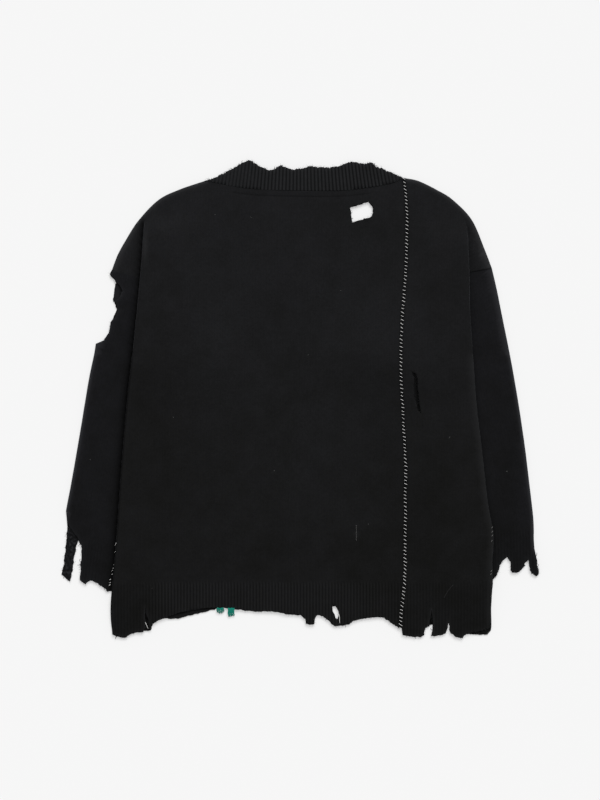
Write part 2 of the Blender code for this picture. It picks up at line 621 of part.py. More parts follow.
def make_sleeves(left_arm, right_arm, material):
    left_outers = [LEFT_RIP_TOP + spline(LEFT_OUTER), LEFT_RIP_UNDER + spline(LEFT_OUTER)]
    make_sleeve(SIDES[LEFT], "left", left_arm, left_outers, [LEFT_CUFF_TOP, LEFT_CUFF_UNDER],
                LEFT_CUFF_BAND, material)
    right_outers = [spline(RIGHT_OUTER), spline(RIGHT_OUTER)]
    make_sleeve(SIDES[RIGHT], "right", right_arm, right_outers, [RIGHT_CUFF_TOP, RIGHT_CUFF_UNDER],
                RIGHT_CUFF_BAND, material)


for leftover in list(bpy.data.objects):
    bpy.data.objects.remove(leftover)

garment = bpy.data.collections.new("darned_pullover")
bpy.context.scene.collection.children.link(garment)
body_knit = knit("body_knit", BODY)
arms = make_body(body_knit, knit("band_knit", BAND))
make_sleeves(*arms, knit("sleeve_knit", SLEEVE))
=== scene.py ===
"""Looks of a darned wool pullover that lies flat on its front, back side up.

Outlines are drafted in millimetres as the garment lies: x runs to the right from the
centre line, and the second number is the height above the lowest point of the hem. MM
turns them into metres. Every knitted piece is cut flat, with the cloth that the shoulder
pleats take up, and then laid on the form that the frame's solids have.
"""

import math
import random

import bmesh
import bpy
import numpy as np
from bpy.props import FloatProperty, FloatVectorProperty, IntProperty, PointerProperty
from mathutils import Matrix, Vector, kdtree, noise
from mathutils.geometry import delaunay_2d_cdt


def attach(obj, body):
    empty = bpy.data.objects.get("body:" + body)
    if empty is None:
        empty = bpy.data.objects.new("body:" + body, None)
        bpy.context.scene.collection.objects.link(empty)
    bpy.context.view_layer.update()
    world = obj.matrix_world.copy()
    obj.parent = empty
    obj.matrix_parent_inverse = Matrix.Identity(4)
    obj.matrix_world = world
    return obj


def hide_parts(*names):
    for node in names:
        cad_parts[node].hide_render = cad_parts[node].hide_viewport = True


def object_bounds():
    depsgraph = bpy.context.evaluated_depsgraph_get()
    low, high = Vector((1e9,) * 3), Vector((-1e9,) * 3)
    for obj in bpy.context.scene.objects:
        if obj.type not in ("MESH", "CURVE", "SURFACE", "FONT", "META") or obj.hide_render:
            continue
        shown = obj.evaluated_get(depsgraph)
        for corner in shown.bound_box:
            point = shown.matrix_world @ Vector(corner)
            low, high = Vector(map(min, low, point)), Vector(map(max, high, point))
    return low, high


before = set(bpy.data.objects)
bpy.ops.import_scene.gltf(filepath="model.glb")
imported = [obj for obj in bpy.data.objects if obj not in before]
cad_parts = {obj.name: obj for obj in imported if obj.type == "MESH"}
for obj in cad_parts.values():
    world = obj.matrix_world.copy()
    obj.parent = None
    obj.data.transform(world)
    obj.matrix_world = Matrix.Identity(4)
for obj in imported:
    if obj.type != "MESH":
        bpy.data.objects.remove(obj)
CAD_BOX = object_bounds()

bl_info = {
    "name": "Darned wool pullover",
    "version": (1, 0, 0),
    "blender": (4, 5, 0),
    "location": "View3D > Sidebar > Pullover",
    "description": "Builds a torn and darned pullover laid flat, with its stitches and loose yarns",
    "category": "Add Mesh",
}

MM = 0.001
LEFT = -1
RIGHT = 1

# Sizes that the construction fixes, in millimetres
LENGTH = (CAD_BOX[1].y - CAD_BOX[0].y) / MM
WALL = 2.4
SEAM_GAP = 0.3
FOLD_RADIUS = 3.0
UNDERARM = 430.0
PLEAT_FOOT = 425.0
FULL_BELOW_PLEAT = 9.0
SHOULDER_OF_SLOPE = 8.0
SLOPE_STEPS = (0.0, 26.0, 56.0, 86.0)
SLOPE_SHARES = (1.0, 0.76, 0.26, 0.0)
DOUBLE = 2 * WALL + SEAM_GAP
MID_ON_FLOOR = DOUBLE / 2
HALF_APART = (WALL + SEAM_GAP) / 2
OVER_SLEEVE = DOUBLE + SEAM_GAP
OVER_PLEAT = 4 * FOLD_RADIUS
RIM_OPENS = 14.0
RIDGE_FADE = 40.0
HEM_RIB_TOP = 86.0
LEFT_CUFF_RIB_TOP = 144.0
RIGHT_CUFF_RIB_TOP = 165.0
LEFT_ARMHOLE_INNER = 530.0
RIGHT_ARMHOLE_INNER = 540.0

# Corners of the cut: where the sleeve comes off the fold, in turns of it with the drop below the
# pleat's foot, the sleeve's corner out from the tuck and down, and the ends of the body's folds
OFF_THE_FOLD = ((1.5, 0), (1.75, 4), (2.0, 8))
SLEEVE_CORNER = (9, 16)
FOLDS_GO_ON = 10
HEM_CORNER = 6

# Relief of the knit. Noise is given by its waves for each millimetre, its place and its height,
# and the sleeves' relief by where it starts and how far it takes to grow
RIB_RIDGE = 1.0
RIB_ROUNDNESS = 0.8
RIB_FADE_DOWN = 5.0
RIB_FADE_ACROSS = 3.0
UNEVEN_BACK = (0.022, 0.018, 0.4, 0.7)
UNEVEN_SLEEVE = (0.04, 0.025, 5.0, 0.5)
CLEAR_OF_EDGE = (1.0, 10.0)
CLEAR_OF_SHOULDER = (105, 20.0)
LUMP_HEIGHT = 0.8
LEVEL_ANGLE = 0.01

# Rounding of cut edges and folds, its depth with its reach, and the curl of torn edges
EDGE_ROUND = (0.9, 1.8)
FOLD_ROUND = (2.1, 3.0)
CURL_WAVES = (0.06, 1.0)
CURL_SHARE = 0.25
CURL_REACH = 3.5
HEM_CURL = 1.6
NECK_CURL = 1.2
CUFF_CURL = 1.4

# Pucker of the darned seam, and the pleat beside it: its place, half width and height
PUCKER_REACH = 22
PUCKER_HALF_WIDTH = 6.0
PUCKER_HEIGHT = (0.45, 0.5)
PUCKER_WAVES = (0.13, 2.0, 0.01)
PLEAT_BESIDE_SEAM = (9.0, 2.2, 0.35)

# Sunken line below the neck seam
LINKING_DROP = 8.6
LINKING_MIDDLE = 2.0
LINKING_REACH = 120.0
LINKING_FADE = 30.0
LINKING_HALF_WIDTH = 1.0
LINKING_DEPTH = 0.5
LINKING_LINES = (-2.2, -1.0, 0.0, 1.0, 2.2)

# Mesh sizes in millimetres
TORN_STEP = 1.7
NECK_STEP = 5.0
PATCH_STEP = 4.0
SEAM_STEP = 6.0
SHADE_STEP = 2.0
EDGE_STEP = 12.0
STRIP_STEP = 1.6
RIB_ROW = 6.5
FOLD_ROW = 7.0
FOLD_SEGMENTS = 8
EDGE_RINGS = (0.7, 1.7, 3.2, 5.5)
RING_SHARE = 0.86
GRID_OFF_EDGE = 0.25
GRID_OFF_LINE = (0.3, 1.2)
UNDER_GRID = 14.0
BAND_GRID = 10.0
MERGE = 0.05
SEWN_GAP = 0.02
ON_SEAM = 0.1
EXACT_WITHIN = 12
FAR_OFF = 99.0

# Lines of the mesh beside the openings' shade, and down the strip where the left cuff is torn
OPENING_GAPS = (-6, -3, 0, 3, 6)
RIP_GAPS = (-9, -6, -3, -1.5, 0, 1.5, 3)
STRIP_OFFSETS = (4.0, 5.6, 7.2, 8.8, 10.4)

# Hem ribs go on a little past the darned seam from each side
MAIN_RIBS_TO = 165
SIDE_RIBS_FROM = 148

# Wander of torn edges: waves for each millimetre, where in the noise, and the share in the push;
# points held back at each end, and how rough each kind of opening is
BROAD_WANDER = (0.16, 3.1, 1.3)
FINE_WANDER = (0.55, 9.7)
HELD_POINTS = 4
JAG = 0.9
NECK_JAG = 1.8
HOLE_ROUGH = 0.7
SMALL_HOLE_ROUGH = 0.5
SLIT_ROUGH = 0.6
TORN_SEED = 276

# Painted shade on the upper face: armhole seams with their fade from the body's edge, the crevice
# beside that edge with its core and reach, the edge's own rim, and the ground under the darned stitches
ARMHOLE_SHADE = {LEFT: (0.45, 9.0), RIGHT: (0.6, 400.0)}
ARMHOLE_HALF_WIDTH = 1.3
CREVICE_SHADE = {LEFT: (1.15, 2.0, 4.6), RIGHT: (0.45, 0.6, 2.5)}
RIM_SHADE = {LEFT: 0.95, RIGHT: 0.0}
RIM_HALF_WIDTH = 2.2
DARNED_SHADE = (0.9, 2.6)
LINKING_SHADE = 0.35

# Painted highlight with some wear on the upper face: folds with their reach and end, torn edges, shoulders,
# body edges, ribs
FOLD_HIGHLIGHT_REACH = 3.2
FOLD_HIGHLIGHT_END = 7.0
FOLD_HIGHLIGHT_FADE = 3.0
RAW_REACH = 1.6
RAW_SHARE = 0.3
SHOULDER_SHARE = 0.8
EDGE_HIGHLIGHT = {LEFT: (0.1, 3.2), RIGHT: (0.24, 6.5)}
RIB_HIGHLIGHT = 0.11

# Behind the openings: painted shade with its reach, painted light on a place in the left rip, and the broken
# stitches inside the left cuff with their dark specks, their pale specks and the noise that lays them
OPENING_SHADE = (1.0, 3.8)
RIP_EDGE_SHADE = (0.7, 1.4)
RIP_PAINTED_LIGHT = (-275.5, 514.0, 8.0, 13.0, 0.2)
BROKEN_STITCHES = (1.1, 0.85)
BROKEN_WAVES = ((0.34, 0.3, 7.0, 1.0), (0.8, 0.6, 2.0, 0.6))

# Hand stitches of the darned seam: their place beside it, half the run across and half the drop
# of each, what chance adds, and how both grow where the stitches are steeper
SEAM_SHIFT = -1.2
STITCH_HALF = 1.6
STITCH_DROP = 0.8
STITCH_WANDER = 0.35
STITCH_SIDES = 7
STEEPER_BELOW = 115.0
STEEPER_DROP = 1.3
STEEPER_HALF = 1.2

# Loose fibres and broken yarn ends: length and radius, and ends for each point of a torn edge
HAIR_LENGTH = (1.6, 4.6)
HAIR_RADIUS = (0.05, 0.09)
END_LENGTH = (2.5, 6.0)
END_RADIUS = (0.32, 0.48)
ENDS_PER_POINT = 0.045
HIDDEN_POINTS = 12

# Small marks: the tuft's strands with their top and how far they sink, the scar, lint and float
TUFT_RADIUS = 0.8
TUFT_STEPS = 6
TUFT_LIFT = (6.6, 3.2)
SCAR_MARKS = 9
SCAR_PITCH = 2.6
SCAR_RADIUS = 0.16
LINT_LENGTH = (1.2, 2.4)
LINT_RADIUS = 0.17
FLOAT_RADIUS = 0.5

# The photo's frame, the place of its middle, the lens with its sensor's longer side, how far it
# sees, the floor, and the light with the way that it comes from
FRAME_MM = (898.2, 1197.6)
PHOTO_MIDDLE = (-0.52, 356.22)
CAMERA_LENS = 100.0
SENSOR_SIDE = 36.0
VIEW_END = 200.0
FLOOR_HALF_SIZE = 60.0
UNDER_THE_CLOTH = 0.0003
TABLE_GLOW = 0.5
SKY_GLOW = 0.36
KEY_ENERGY = 2.75
KEY_SPREAD = 35.0
KEY_FROM = (0.16, 0.66, 0.95)

# Grain of the wool as noise: scale, detail and roughness
NAP = (1050.0, 4.0, 0.7)
FLEECE = (260.0, 3.0, 0.6)
PATCHY = (34.0, 3.0, 0.6)
BROAD = (7.0, 2.0, 0.5)

# Cut lines of the body
BACK_NECK = [(-142.5, 684), (-105, 676), (-67.5, 671), (0, 669), (67.5, 669.5), (127.5, 678), (156, 688)]
FRONT_NECK = [(-142.5, 684), (-139, 655), (-125, 618), (-93, 590), (-48, 574), (0, 570),
              (50, 574), (100, 590), (135, 618), (151, 655), (156, 688)]
LEFT_SHOULDER = [(-142.5, 684), (-180.5, 671), (-211.5, 656), (-241.5, 625.5), (-261, 595.5),
                 (-273.5, 572.5), (-282, 550)]
RIGHT_SHOULDER = [(156, 688), (176, 684), (204, 670.5), (228, 655.5), (256.5, 625.5), (276, 580.5),
                  (286.5, 553)]
PATCH_SEAM = [(156, 688), (159.2, 658.5), (160.6, 622.5), (160, 586.5), (158.6, 550.5), (155.6, 514.5),
              (152.9, 478.5), (151.3, 442.5), (151.1, 415), (151.1, 388.5), (153.4, 352.5), (155.4, 316.5),
              (157.3, 280.5), (158.5, 253), (157.7, 217), (158.2, 185), (157.6, 145), (157.6, 118.5),
              (156.8, 82.5), (154.9, 64.5), (152.6, 46.5), (151.4, 28.5), (151.2, 14.5)]
BACK_HEM = [(-281, 6), (-274, 2), (-262.5, 0), (-256, 5), (-245, 9), (-234.5, 10), (-232, 16),
            (-232.5, 46.5), (-226, 22), (-224, 12), (-222, 21), (-213, 26), (-203, 30), (-187, 36.5),
            (-173, 40.5), (-150, 44), (-133, 46.5), (-115, 45.5), (-90, 42.5), (-73, 40), (-42, 40.5),
            (-21, 36.5), (0, 34), (7.5, 29), (7.8, 21), (20.8, 20.6), (21.3, 30), (25.5, 34), (34, 33),
            (42.6, 26), (51, 18), (65, 19), (73.5, 21), (79, 26), (99.5, 30.3), (113, 32), (125, 31),
            (134, 24.3), (146, 15.6), (151.2, 14.5)]
SIDE_HEM = [(152.8, 5), (165, 2.3), (178.5, 1.5), (185.4, 4.5), (186.3, 15), (190, 17), (193.6, 17.5),
            (192.4, 25), (194.6, 33), (196.2, 43.5), (197.6, 30), (198.2, 17), (197.4, 10), (195.6, 3.4),
            (204, 3.8), (211.5, 5), (217, 7.5), (219.5, 13), (221.6, 23.5), (223.2, 15), (224.2, 7.5),
            (229.5, 4), (235, 1), (241, 0.3), (244.5, 4.5), (248, 6.5), (259.5, 9.5), (273, 12.5),
            (285.5, 16.5)]
FRONT_HEM = [(-281, 9), (-265, 4), (-248, 14), (-235, 11.5), (-228, 10.5), (-223.5, 12), (-219.5, 24),
             (-210, 27.5), (-200, 29.5), (-183, 29), (-173, 31.5), (-150, 37.5), (-129, 42.5), (-124, 45.5),
             (-90, 45), (-42, 44), (-21, 40), (0, 38), (15, 37), (30, 38), (43, 54), (62, 54), (67, 31),
             (80, 31), (100, 34), (125, 35), (134, 28), (146, 19), (153, 16), (165, 6), (180, 6),
             (186.5, 18.5), (200, 20.5), (204, 9), (216, 12), (219.5, 26), (225.5, 26), (229, 10), (242, 4),
             (252, 6), (266, 5), (280, 5.5), (285.2, 12)]
SQUARE_HOLE = [(75, 643.5), (102, 652.3), (107.3, 644), (108.4, 637), (105, 629.3), (77.3, 622)]
HEM_HOLE = [(48, 48), (52.5, 48), (57, 40.5), (57.8, 34.5), (55.5, 28.5), (52.5, 30), (51, 36),
            (48.2, 41)]
SLIT = [(165, 398.5), (172, 395.5), (174.4, 388), (174.6, 376), (176.6, 362), (178.1, 347), (180.4, 336.5),
        (175.2, 341), (172.6, 352), (169.5, 363), (169, 378), (169.6, 390)]
BAND_TOP = [(-142.5, 684), (-125.5, 689.8), (-114.5, 695), (-104, 700.5), (-93, 706.9), (-86.8, 710.8),
            (-77, 714.8), (-72, 713.8), (-65.5, 707.6), (-54.5, 703.7), (-48, 700.5), (-40.5, 700.5),
            (-29, 706.3), (-20.5, 704.4), (-9.5, 700.5), (3, 702.6), (13, 705.4), (24.5, 704.2), (44, 704),
            (59, 706), (67.5, 710.1), (77, 712.6), (89, 709.7), (97.5, 710.1), (105.5, 712), (113, 705.9),
            (125.5, 700.5), (138, 695), (150, 690.3), (156, 688)]
FRONT_BAND_INNER = [(-142.5, 684), (-112.5, 690), (-92, 702), (-80, 711), (-87, 680), (-84, 646),
                    (-62, 622), (-30, 612), (0, 610), (45, 613), (84, 619.5), (111, 619.5), (112, 655),
                    (88, 657), (86, 680), (80, 709), (96, 706), (114, 703), (128, 694), (156, 688)]

# Outlines of the sleeves as they lie, from the shoulder tip down
LEFT_OUTER = [(-306, 440.5), (-308, 427), (-316.5, 385.5), (-331.5, 295.5), (-342, 235.5), (-350.5, 190.5)]
LEFT_RIP_TOP = [(-282, 550), (-284.5, 544), (-276, 532.5), (-268.5, 525), (-265.5, 519), (-270, 510),
                (-277.5, 504), (-273, 490.5), (-276, 481.5), (-283.5, 472.5), (-286.5, 456), (-295, 444)]
LEFT_RIP_UNDER = [(-282, 550), (-285, 545.3), (-274.5, 534), (-279, 520.5), (-280.5, 507),
                  (-274.5, 492), (-282, 474), (-285, 457.5), (-294, 445.5)]
LEFT_CUFF_TOP = [(-348, 172), (-344.5, 167), (-337, 156), (-331.5, 149.5), (-327, 139), (-327.6, 119.5),
                 (-328.8, 100.5), (-329.8, 88), (-321, 80.8), (-314, 87), (-303.5, 82), (-290.5, 73.3),
                 (-288.5, 69.5), (-282, 70), (-270, 74), (-248, 74)]
LEFT_CUFF_UNDER = [(-348.5, 166), (-349.5, 154), (-351.3, 134), (-354, 108), (-357.4, 95.5),
                   (-344.5, 84.5), (-341, 100), (-338.4, 119.5), (-335.6, 136.5), (-331.5, 146),
                   (-325.5, 134), (-325.5, 120), (-327, 103), (-326.5, 90), (-321, 84), (-314, 90),
                   (-303, 85.5), (-290, 77), (-280, 75), (-270, 77), (-248, 74)]
RIGHT_OUTER = [(286.5, 553), (294, 520.5), (303, 475.5), (315, 415.5), (325.5, 355.5), (334.5, 295.5),
               (342, 235.5), (348.5, 178), (349, 150), (350, 134)]
RIGHT_CUFF_TOP = [(352.4, 123), (353.4, 116), (354.6, 108), (355.9, 102), (357.4, 97), (353.5, 93.3),
                  (345.5, 96.8), (342.8, 102), (341.8, 114), (340.3, 117.5), (336.5, 113.5), (335, 110.5),
                  (336, 108.3), (333, 106), (329.6, 101.5), (326, 98.8), (317, 98.3), (314.4, 102),
                  (314, 114), (308.8, 121.5), (299.4, 111), (296.8, 103.5), (293.8, 94.5), (289, 88.3),
                  (283, 87), (268, 88), (252, 93)]
RIGHT_CUFF_UNDER = [(351.5, 125), (352.5, 111), (352, 102), (346.5, 105), (344, 117), (340.5, 121.5),
                    (334.5, 115), (330, 105), (324, 102), (318.5, 102), (317, 108), (317, 116),
                    (309.8, 126.5), (297, 115), (294, 106), (291, 98), (282, 90), (268, 90), (252, 93)]

# Soft ridges and troughs of the back: centre, direction in degrees, half width, half length, height
RIDGES = [(-60, 520, 62, 34, 150, 1.6), (40, 330, 100, 40, 130, 1.4), (-150, 250, 84, 30, 120, 1.5),
          (210, 200, 96, 26, 90, 1.3), (-40, 150, 15, 32, 120, 1.2), (-170, 440, 70, 22, 70, 1.0),
          (60, 230, 130, 24, 90, 0.9), (235, 470, 80, 18, 60, 0.8)]
SLEEVE_RIDGES = [(-300, 330, 76, 12, 70, 1.2), (-318, 230, 100, 10, 60, 1.0), (312, 330, 102, 12, 80, 1.3),
                 (328, 210, 80, 10, 60, 1.1), (296, 450, 110, 10, 50, 0.9), (-276, 420, 96, 9, 60, 0.9)]

# Soft places painted lighter or darker: centre, half width, half height, share
TONES = [(-240, 370, 125, 300, -0.24), (128, 448, 130, 105, 0.27), (196, 235, 75, 160, -0.27),
         (0, 190, 120, 130, 0.16), (90, 633, 170, 70, -0.13), (-75, 70, 200, 55, 0.22),
         (340, 220, 30, 160, 0.22)]

# Rubbed streaks: centre, half width, half height, share
RUBBED = [(-231, 585, 3.0, 22, 0.26), (83.7, 157.5, 1.2, 9.0, 0.2)]

# Middle lines of the painted shade in the openings, where the front's inner side shows, and in the left rip
UNDER_OPENINGS = [[(169, 396), (173, 388), (173.4, 378), (175, 362), (176.4, 347), (178.5, 339)],
                  [(-231.5, 44), (-230.2, 34), (-229.2, 27)], [(195.6, 40), (195.2, 30), (195.4, 22)]]
RIP_SHADE = [(-272, 530), (-268.8, 521), (-266.6, 512)]

FAR_AWAY = [(-9999.0, -9999.0), (-9999.0, -9990.0)]

# Places of the small marks: each half of the tuft from left to right, its top, foot and strands
TUFT = [(-125, -114.2, 45.6, 37.6, 9), (-108.3, -98.7, 45.6, 32.6, 10)]
SCAR = (83.7, 158.0)
FLOAT_YARN = [(228.0, 80.5), (219.7, 70.5), (214.2, 60.5)]
LUMPS = [(194, 118, 7), (199, 108, 6), (229, 123, 6), (-220.5, 75, 4)]
LINT = [(-221.3, 74.5), (-314.4, 267), (12.8, 423), (-128, 633), (-74, 630), (-40, 250), (101, 170),
        (-190, 330), (60, 520), (222, 300), (308, 250)]

# Hand stitches: the middle of each, half its run across and up, and its share of the yarn's radius
CUFF_STITCHES = [(-278.4, 110.3, 1.0, 0.6, 0.45), (-279.6, 104.7, 1.2, 0.8, 0.45),
                 (-281.2, 101.0, 0.8, 0.4, 0.55), (-281.2, 95.8, 0.8, 0.5, 0.55),
                 (-284.3, 87.8, 0.9, 0.5, 1.0), (-284.5, 83.2, 0.9, 0.4, 0.85),
                 (-285.1, 79.7, 1.1, 0.7, 1.0)]
RIM_STITCHES = [(-275.6, 141.6, 1.0, 2.2, 0.62), (-276.6, 129.6, 0.7, 0.9, 0.45)]

# Strands of the darning yarn across two openings, with their lift, and the right cuff's stitches
SLIT_STRAND = [(-231.5, 24.2, 0.3), (-230.2, 21.3, 0.6), (-228.9, 18.4, 0.4), (-227.6, 14.8, -0.3)]
HOLE_STRAND = [(57.5, 36.3, 0.3), (58.6, 31.5, 0.6), (58.6, 26.5, 0.3), (58.9, 22.8, 0.5)]
RIGHT_CUFF_STITCHES = [(286.2, 166), (286.5, 160), (286.4, 154), (285.8, 146), (285.2, 101), (284.6, 96.6)]


class PulloverSizes(bpy.types.PropertyGroup):
    wale: FloatProperty(name="Wale", description="Width of a column of stitches, in mm", default=2.35)
    knit_step: FloatProperty(name="Mesh step", description="Mesh size in plain knit, in mm", default=6.0)
    fray: FloatProperty(name="Fray", description="How far torn edges wander, in mm", default=0.9)
    stitch_pitch: FloatProperty(name="Stitch pitch", description="Between hand stitches, in mm",
                                default=5.25)
    stitch_radius: FloatProperty(name="Darning yarn radius", description="In mm", default=0.34)
    hairs: IntProperty(name="Hairs", description="Loose fibres along the torn edges", default=3400)
    seed: IntProperty(name="Seed", description="Picks one layout of hairs and yarn ends", default=7)


class PulloverColours(bpy.types.PropertyGroup):
    body: FloatVectorProperty(name="Body", description="Black wool of the body", subtype="COLOR",
                              size=3, default=(0.0088, 0.0089, 0.0093))
    sleeve: FloatVectorProperty(name="Sleeve", description="Black wool of the sleeves", subtype="COLOR",
                                size=3, default=(0.0078, 0.0079, 0.0088))
    band: FloatVectorProperty(name="Neckband", description="Black wool of the neckband", subtype="COLOR",
                              size=3, default=(0.0106, 0.0108, 0.0112))
    darning: FloatVectorProperty(name="Darning yarn", description="Off-white yarn of the hand stitches",
                                 subtype="COLOR", size=3, default=(0.78, 0.775, 0.76))
    tuft: FloatVectorProperty(name="Tuft", description="Green yarn at the hem", subtype="COLOR", size=3,
                              default=(0.0, 0.215, 0.155))
    floor: FloatVectorProperty(name="Floor", description="Pale floor", subtype="COLOR", size=3,
                               default=(0.397, 0.397, 0.397))


def sizes():
    return bpy.context.scene.pullover_sizes


def colours():
    return bpy.context.scene.pullover_colours


def ease(t):
    """Smooth step from 0 to 1."""
    t = min(max(t, 0.0), 1.0)
    return t * t * (3 - 2 * t)


def eased_between(x, xs, ys):
    """Like a straight interpolation between knots, but smooth at each of them."""
    if x <= xs[0]:
        return ys[0]
    for i in range(len(xs) - 1):
        if x <= xs[i + 1]:
            t = (x - xs[i]) / (xs[i + 1] - xs[i])
            slope0 = 0.0 if i == 0 else (ys[i + 1] - ys[i - 1]) / (xs[i + 1] - xs[i - 1])
            slope1 = 0.0 if i + 2 >= len(xs) else (ys[i + 2] - ys[i]) / (xs[i + 2] - xs[i])
            d = xs[i + 1] - xs[i]
            a = ys[i] * (2 * t ** 3 - 3 * t ** 2 + 1) + slope0 * d * (t ** 3 - 2 * t ** 2 + t)
            return a + ys[i + 1] * (3 * t ** 2 - 2 * t ** 3) + slope1 * d * (t ** 3 - t ** 2)
    return ys[-1]


def spline(points, step):
    """Points along a Catmull-Rom curve through the given ones, about a step apart."""
    ends = [points[0]] + list(points) + [points[-1]]
    out = []
    for a, b, c, d in zip(ends, ends[1:], ends[2:], ends[3:]):
        a, b, c, d = (Vector(p) for p in (a, b, c, d))
        count = max(1, round((c - b).length / step))
        for i in range(count):
            t = i / count
            square = 2 * a - 5 * b + 4 * c - d
            cube = 3 * b - a - 3 * c + d
            out.append(tuple(b + ((c - a) * t + square * t ** 2 + cube * t ** 3) / 2))
    return out + [tuple(points[-1])]


def dense(points, step):
    """The same straight lines with points about a step apart."""
    out = []
    for a, b in zip(points, points[1:]):
        a, b = Vector(a), Vector(b)
        count = max(1, round((b - a).length / step))
        out += [tuple(a.lerp(b, i / count)) for i in range(count)]
    return out + [tuple(points[-1])]


def shifted(points, gap):
    """The line moved sideways by a gap, to the left of its run."""
    out = []
    for i, p in enumerate(points):
        along = (Vector(points[min(i + 1, len(points) - 1)]) - Vector(points[max(i - 1, 0)])).normalized()
        out.append((p[0] - along.y * gap, p[1] + along.x * gap))
    return out


def torn(points, closed=False, rough=None, jag=JAG):
    """A torn edge: the drafted line with the wander of broken stitches, its ends kept."""
    noise.seed_set(TORN_SEED)
    rough = sizes().fray if rough is None else rough
    line = dense(points + points[:1] if closed else points, TORN_STEP)
    broad, broad_place, broad_share = BROAD_WANDER
    fine, fine_place = FINE_WANDER
    out = []
    for i, p in enumerate(line):
        hold = 1.0 if closed else min(i, len(line) - 1 - i, HELD_POINTS) / HELD_POINTS
        push = noise.noise_vector(Vector((p[0] * broad, p[1] * broad, broad_place))) * broad_share
        push += noise.noise_vector(Vector((p[0] * fine, p[1] * fine, fine_place))) * jag
        out.append((p[0] + push.x * rough * hold, p[1] + push.y * rough * hold))
    return out[:-1] if closed else out


def halves(seam):
    """Both sides of a closed seam."""
    return shifted(seam, SEWN_GAP), shifted(seam, -SEWN_GAP)


class Side:
    """One half of the garment: the body's edge, the pleat beside it and the tucked sleeve."""

    def __init__(self, sign, edge, pleat_top, pleat_full, tuck, cuff_inner, cuff_low):
        self.sign = sign
        curve = sorted((h, x) for x, h in spline(edge, EDGE_STEP))
        self.heights = [h for h, x in curve]
        self.edges = [x for h, x in curve]
        self.pleat_top = pleat_top
        self.pleat_full = pleat_full
        self.tuck = tuck
        self.cuff_inner = cuff_inner
        self.deepest = self.crease(PLEAT_FOOT) - FOLD_RADIUS - MID_ON_FLOOR - tuck
        knots = [(0.0, 0.0), (cuff_low, OVER_SLEEVE)]
        for drop, share in zip(SLOPE_STEPS[::-1], SLOPE_SHARES[::-1]):
            lift = OVER_SLEEVE + (OVER_PLEAT - OVER_SLEEVE) * share
            knots.append((PLEAT_FOOT - FULL_BELOW_PLEAT - drop, lift))
        self.knots = list(zip(*knots))

    def edge(self, h):
        """Where the body's edge is seen, from the centre line."""
        return float(np.interp(h, self.heights, self.edges))

    def past_edge(self, s, h):
        """Says that a place of the cut lies outside the body's edge, folded under or beyond it."""
        return abs(s) > self.edge(h) + 1.0

    def crease(self, h):
        """Where the body starts to turn under at its edge."""
        return self.edge(h) - FOLD_RADIUS - MID_ON_FLOOR

    def turn(self, h):
        """How far the cloth turns under: nothing above the pleat, half a turn in it."""
        return math.pi * min(max((self.pleat_top - h) / (self.pleat_top - self.pleat_full), 0.0), 1.0)

    def back_run(self, h):
        """How far the pleat runs back under the body."""
        return self.deepest * min(max((self.pleat_full - h) / (self.pleat_full - PLEAT_FOOT), 0.0), 1.0)

    def shift(self, h):
        """Length of cloth that the pleat takes up in this row."""
        turn = self.turn(h)
        return 2 * FOLD_RADIUS * (turn - math.sin(turn)) + self.back_run(h) * (1 - math.cos(turn))

    def inner(self, h):
        """Inner end of what lies under the body: the pleat, and below it the sleeve."""
        if h >= PLEAT_FOOT:
            return self.crease(h) - self.back_run(h) - FOLD_RADIUS - MID_ON_FLOOR
        x, low = self.cuff_inner
        return self.tuck + (x - self.tuck) * min((PLEAT_FOOT - h) / (PLEAT_FOOT - low), 1.0)

    def rise(self, h):
        """How far the body's side is lifted by what lies under it."""
        if h >= self.pleat_full:
            return 2 * FOLD_RADIUS * (1 - math.cos(self.turn(h)))
        return eased_between(h, *self.knots)

    def ramp(self, a, h):
        """Share of the rise at a point: 1 over the sleeve, 0 in the middle of the body."""
        return eased_between(self.inner(h) - SHOULDER_OF_SLOPE - a, SLOPE_STEPS, SLOPE_SHARES)


SIDES = {
    LEFT: Side(LEFT, [(231.5, 640), (233, 628.5), (238.5, 547.5), (250, 430.5), (258.8, 355.5),
                      (267.5, 253.5), (272.8, 177), (279, 100.5), (282.3, 66), (283.6, 42), (283, 24),
                      (281, 6)],
               pleat_top=640, pleat_full=597, tuck=160, cuff_inner=(248, 74), cuff_low=64),
    RIGHT: Side(RIGHT, [(247, 640), (249.8, 609), (252.2, 547.5), (253.2, 490), (257, 430.5), (262.5, 355.5),
                        (271.5, 279), (280, 202.5), (288.5, 154.5), (286.5, 112), (287.6, 82.5), (286.2, 69),
                        (285.6, 56.5), (285, 44), (285.6, 25.5), (285.5, 16.5)],
                pleat_top=634, pleat_full=589, tuck=135, cuff_inner=(252, 93), cuff_low=80),
}


def side_of(s):
    return SIDES[RIGHT if s >= 0 else LEFT]


def unfolded(points):
    """Points that lie outside the body's edge, moved out by the cloth that the pleat takes up."""
    return [(x + side_of(x).sign * side_of(x).shift(h), h) for x, h in points]


